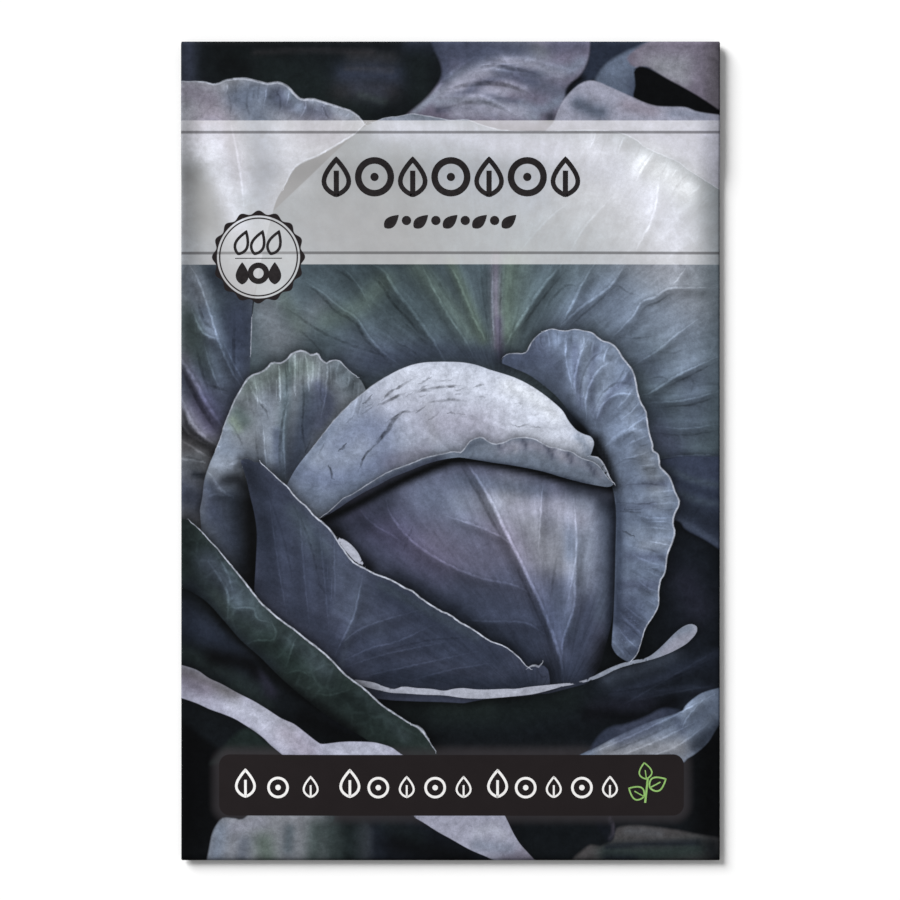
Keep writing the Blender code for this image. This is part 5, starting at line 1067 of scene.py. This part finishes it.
def make_seeds():
    """One seed, round and a little lumpy, copied to every seed's place in the pocket."""
    chance = random.Random(23)
    names = sorted(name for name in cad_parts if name.startswith("seed_"))
    start_fresh()
    bpy.ops.mesh.primitive_uv_sphere_add(segments=20, ring_count=12, radius=0.5)
    model = bpy.context.object
    bpy.ops.object.mode_set(mode="EDIT")
    shape = bmesh.from_edit_mesh(model.data)
    for vert in shape.verts:
        x, y, z = vert.co
        lump = 1 - 0.05 * (0.5 + 0.5 * math.sin(7 * x + 3 * y) * math.cos(6 * z - 2 * x)) - 0.05 * max(0.0, z) ** 2
        vert.co *= lump
    bmesh.update_edit_mesh(model.data)
    bpy.ops.mesh.select_all(action="SELECT")
    bpy.ops.mesh.normals_make_consistent(inside=False)
    bpy.ops.object.mode_set(mode="OBJECT")
    bpy.ops.object.shade_smooth()
    seeds = []
    for name in names:
        low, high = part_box(name)
        seed = bpy.data.objects.new("seed", model.data.copy())
        bpy.context.scene.collection.objects.link(seed)
        seed.location = [(a + b) / 2 for a, b in zip(low, high)]
        seed.rotation_euler = [chance.uniform(0, math.tau) for _ in range(3)]
        size = min(b - a for a, b in zip(low, high)) * 0.97
        seed.scale = (size, size, size)
        seeds.append(seed)
    bpy.data.objects.remove(model, do_unlink=True)
    start_fresh()
    for seed in seeds:
        seed.select_set(True)
    bpy.context.view_layer.objects.active = seeds[0]
    bpy.ops.object.transform_apply(location=True, rotation=True, scale=True)
    bpy.ops.object.join()
    finish_piece(seeds[0], "loose_seeds", [seed_material()])
    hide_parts(*names)


def finish_glue():
    glue = glue_material()
    for name in ("left_side_glue", "right_side_glue", "top_flap_glue"):
        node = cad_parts[name]
        node.data.materials.clear()
        node.data.materials.append(glue)


# ---------------------------------------------------------------- printed ornaments, in millimetres until laid


def flat_leaf(length, width, slit=0.0, outline=0.0):
    """A pointed leaf standing on its stalk end at the centre, with an open slit for its rib or as an outline only."""
    start_fresh()
    bpy.ops.mesh.primitive_circle_add(vertices=32, radius=0.5, fill_type="NGON")
    leaf = bpy.context.object
    bpy.ops.object.mode_set(mode="EDIT")
    shape = bmesh.from_edit_mesh(leaf.data)
    for vert in shape.verts:
        share = vert.co.y + 0.5
        half = width * 0.62 * math.sin(math.pi * min(1, max(0, share)) ** 0.85) ** 0.8 * (1.04 - 0.35 * share)
        side = 0 if abs(vert.co.x) < 1e-4 else math.copysign(1, vert.co.x)
        vert.co.x, vert.co.y = side * half, share * length
    bmesh.update_edit_mesh(leaf.data)
    if outline:
        bpy.ops.mesh.select_all(action="SELECT")
        bpy.ops.mesh.inset(thickness=outline)
        bpy.ops.mesh.delete(type="FACE")
    if slit:
        bpy.ops.mesh.select_all(action="SELECT")
        bpy.ops.mesh.bisect(plane_co=(-slit / 2, 0, 0), plane_no=(1, 0, 0))
        bpy.ops.mesh.select_all(action="SELECT")
        bpy.ops.mesh.bisect(plane_co=(slit / 2, 0, 0), plane_no=(1, 0, 0))
        bpy.ops.mesh.select_all(action="SELECT")
        bpy.ops.mesh.bisect(plane_co=(0, length * 0.7, 0), plane_no=(0, 1, 0))
        shape = bmesh.from_edit_mesh(leaf.data)
        for face in shape.faces:
            middle = face.calc_center_median()
            face.select_set(abs(middle.x) < slit / 2 and middle.y < length * 0.7)
        bmesh.update_edit_mesh(leaf.data)
        bpy.ops.mesh.delete(type="FACE")
    bpy.ops.object.mode_set(mode="OBJECT")
    return leaf


def flat_disc(radius, hole=0.0, corners=40):
    start_fresh()
    bpy.ops.mesh.primitive_circle_add(vertices=corners, radius=radius, fill_type="NGON")
    disc = bpy.context.object
    if hole:
        bpy.ops.object.mode_set(mode="EDIT")
        bpy.ops.mesh.select_all(action="SELECT")
        bpy.ops.mesh.inset(thickness=radius - hole)
        bpy.ops.mesh.delete(type="FACE")
        bpy.ops.object.mode_set(mode="OBJECT")
    return disc


def flat_bar(width, height):
    start_fresh()
    bpy.ops.mesh.primitive_plane_add(size=1)
    bar = bpy.context.object
    bar.scale = (width, height, 1)
    bpy.ops.object.transform_apply(location=False, rotation=False, scale=True)
    return bar


def lay_ornament(name, material, models, places):
    """Copies each model to its places (x, y, turn in degrees, size) and lays them all on the print as one piece."""
    copies = []
    for key, x, y, turn, size in places:
        copy = bpy.data.objects.new(name, models[key].data.copy())
        bpy.context.scene.collection.objects.link(copy)
        copy.location = (x, y, 0)
        copy.rotation_euler = (0, 0, math.radians(turn))
        copy.scale = (size, size, 1)
        copies.append(copy)
    start_fresh()
    for copy in copies:
        copy.select_set(True)
    bpy.context.view_layer.objects.active = copies[0]
    bpy.ops.object.transform_apply(location=True, rotation=True, scale=True)
    bpy.ops.object.join()
    piece = copies[0]
    bpy.ops.object.mode_set(mode="EDIT")
    low = min(v.co.y for v in bmesh.from_edit_mesh(piece.data).verts)
    high = max(v.co.y for v in bmesh.from_edit_mesh(piece.data).verts)
    for height in evenly(low, high, 0.5)[:-1]:
        bpy.ops.mesh.select_all(action="SELECT")
        bpy.ops.mesh.bisect(plane_co=(0, height, 0), plane_no=(0, 1, 0))
    bpy.ops.mesh.select_all(action="SELECT")
    bpy.ops.mesh.quads_convert_to_tris()
    bpy.ops.object.mode_set(mode="OBJECT")
    flat = np.empty(len(piece.data.vertices) * 3)
    piece.data.vertices.foreach_get("co", flat)
    flat = flat.reshape(-1, 3) * MM
    u, v = flat[:, 0], flat[:, 1]
    place = folded(u, v) + outward(u, v) * (PAPER_THICKNESS / 2 + ORNAMENT_THICKNESS)
    piece.data.vertices.foreach_set("co", place.ravel())
    piece.data.update()
    thicken(piece, ORNAMENT_THICKNESS, -1.0)
    return finish_piece(piece, name, [material])


def make_ornaments():
    models = {
        "tall_leaf": flat_leaf(6.2, 4.1, outline=0.72),
        "tall_rib": flat_bar(0.8, 4.0),
        "small_leaf": flat_leaf(2.9, 1.5),
        "label_leaf": flat_leaf(4.5, 2.9, outline=0.40),
        "label_rib": flat_bar(0.40, 2.7),
        "sprout_leaf": flat_leaf(3.2, 2.3, outline=0.26),
        "sprout_rib": flat_bar(0.2, 1.9),
        "ring": flat_disc(3.0, hole=2.0),
        "fine_ring": flat_disc(1.66, hole=1.26),
        "dot": flat_disc(0.42, corners=24),
        "seal_leaf": flat_leaf(4.1, 2.1, outline=0.42),
        "seal_seed": flat_leaf(3.4, 1.8),
        "seal_ring": flat_disc(1.65, hole=0.8),
        "seal_rule": flat_bar(7.2, 0.12),
        "stem": flat_bar(0.30, 3.6),
    }
    dark = ornament_material("black_ink", (0.014, 0.012, 0.013), (0.024, 0.021, 0.022))
    white = ornament_material("white_ink", (0.80, 0.79, 0.78), (0.93, 0.92, 0.91))
    green = ornament_material("green_ink", (0.22, 0.42, 0.11), (0.33, 0.56, 0.19))

    title = []
    for i in range(7):
        x = -17.5 + i * 5.85
        if i % 2:
            title.append(("ring", x, 42.0, 0, 1.0))
            title.append(("dot", x, 42.0, 0, 1.5))
        else:
            title.append(("tall_leaf", x, 38.9, 0, 1.0))
            title.append(("tall_rib", x, 40.95, 0, 1.0))
    lay_ornament("title_ornament", dark, models, title)

    below = []
    for i in range(9):
        x = -9.0 + i * 2.25
        if i % 2:
            below.append(("dot", x, 35.3, 0, 1.7))
        else:
            below.append(("small_leaf", x - 1.1, 34.2, -48, 1.0))
    lay_ornament("lower_ornament", dark, models, below)

    sx, sy = SEAL_PLACE
    seal = [("seal_rule", sx, sy - 0.2, 0, 1.0), ("seal_ring", sx, sy - 2.5, 0, 1.0)]
    for step in (-2.5, 2.5):
        seal.append(("seal_seed", sx + step, sy - 4.2, 0, 1.0))
    for step in (-2.5, 0.0, 2.5):
        seal.append(("seal_leaf", sx + step - 0.7, sy + 0.3, -20, 1.0))
    lay_ornament("seal_ornament", dark, models, seal)

    row = []
    for start, count, pitch in ((-31.4, 3, 5.0), (-15.4, 5, 4.35), (7.2, 5, 4.3)):
        for i in range(count):
            x = start + i * pitch
            if i == 0:
                row += [("label_leaf", x, -53.1, 0, 1.0), ("label_rib", x, -51.7, 0, 1.0)]
            elif i % 2:
                row += [("fine_ring", x, -51.5, 0, 1.0), ("dot", x, -51.5, 0, 1.0)]
            else:
                row += [("label_leaf", x, -53.1, 0, 0.76), ("label_rib", x, -52.1, 0, 0.72)]
    lay_ornament("label_ornament", white, models, row)

    sprig = [("stem", 30.0, -52.0, -6, 1.05), ("sprout_leaf", 30.4, -51.6, -62, 0.95), ("sprout_rib", 31.3, -51.15, -62, 1.0)]
    sprig += [("sprout_leaf", 29.7, -53.0, 60, 0.9), ("sprout_rib", 28.9, -52.5, 60, 0.9), ("sprout_leaf", 30.0, -50.3, 8, 0.85), ("sprout_rib", 29.9, -49.6, 8, 0.8)]
    lay_ornament("label_sprig", green, models, sprig)
    for model in models.values():
        bpy.data.objects.remove(model, do_unlink=True)


# ---------------------------------------------------------------- floor, light and camera


def set_stage():
    start_fresh()
    bpy.ops.mesh.primitive_plane_add(size=4.0, location=(0, 0, -0.00002))
    floor = bpy.context.object
    floor.name = "floor"
    mix = Recipe("pale_floor", roughness=0.9, specular=0.0)
    tint = mix.noise(mix.object_place(), 4.0, 2.0)
    floor.data.materials.append(mix.colour(mix.blend(tint, (0.955, 0.955, 0.955, 1), (0.965, 0.965, 0.965, 1))))

    world = bpy.data.worlds.new("soft_room")
    world.use_nodes = True
    world.node_tree.nodes["Background"].inputs["Color"].default_value = (1, 1, 1, 1)
    world.node_tree.nodes["Background"].inputs["Strength"].default_value = 0.34
    bpy.context.scene.world = world

    bpy.ops.object.light_add(type="SUN", rotation=(math.radians(-40), math.radians(-53), 0))
    sun = bpy.context.object
    sun.name = "window_light"
    sun.data.energy = 5.12
    sun.data.angle = math.radians(32)

    bpy.ops.object.camera_add(location=(-0.00008, 0.00015, 0.3843), rotation=(0, 0, 0))
    camera = bpy.context.object
    camera.data.lens = 100
    camera.data.sensor_width = 36
    camera.data.clip_start = 0.01
    bpy.context.scene.camera = camera
    bpy.context.scene.view_settings.view_transform = "Standard"


make_front_film()
make_sheet()
finish_glue()
make_seeds()
make_ornaments()
set_stage()
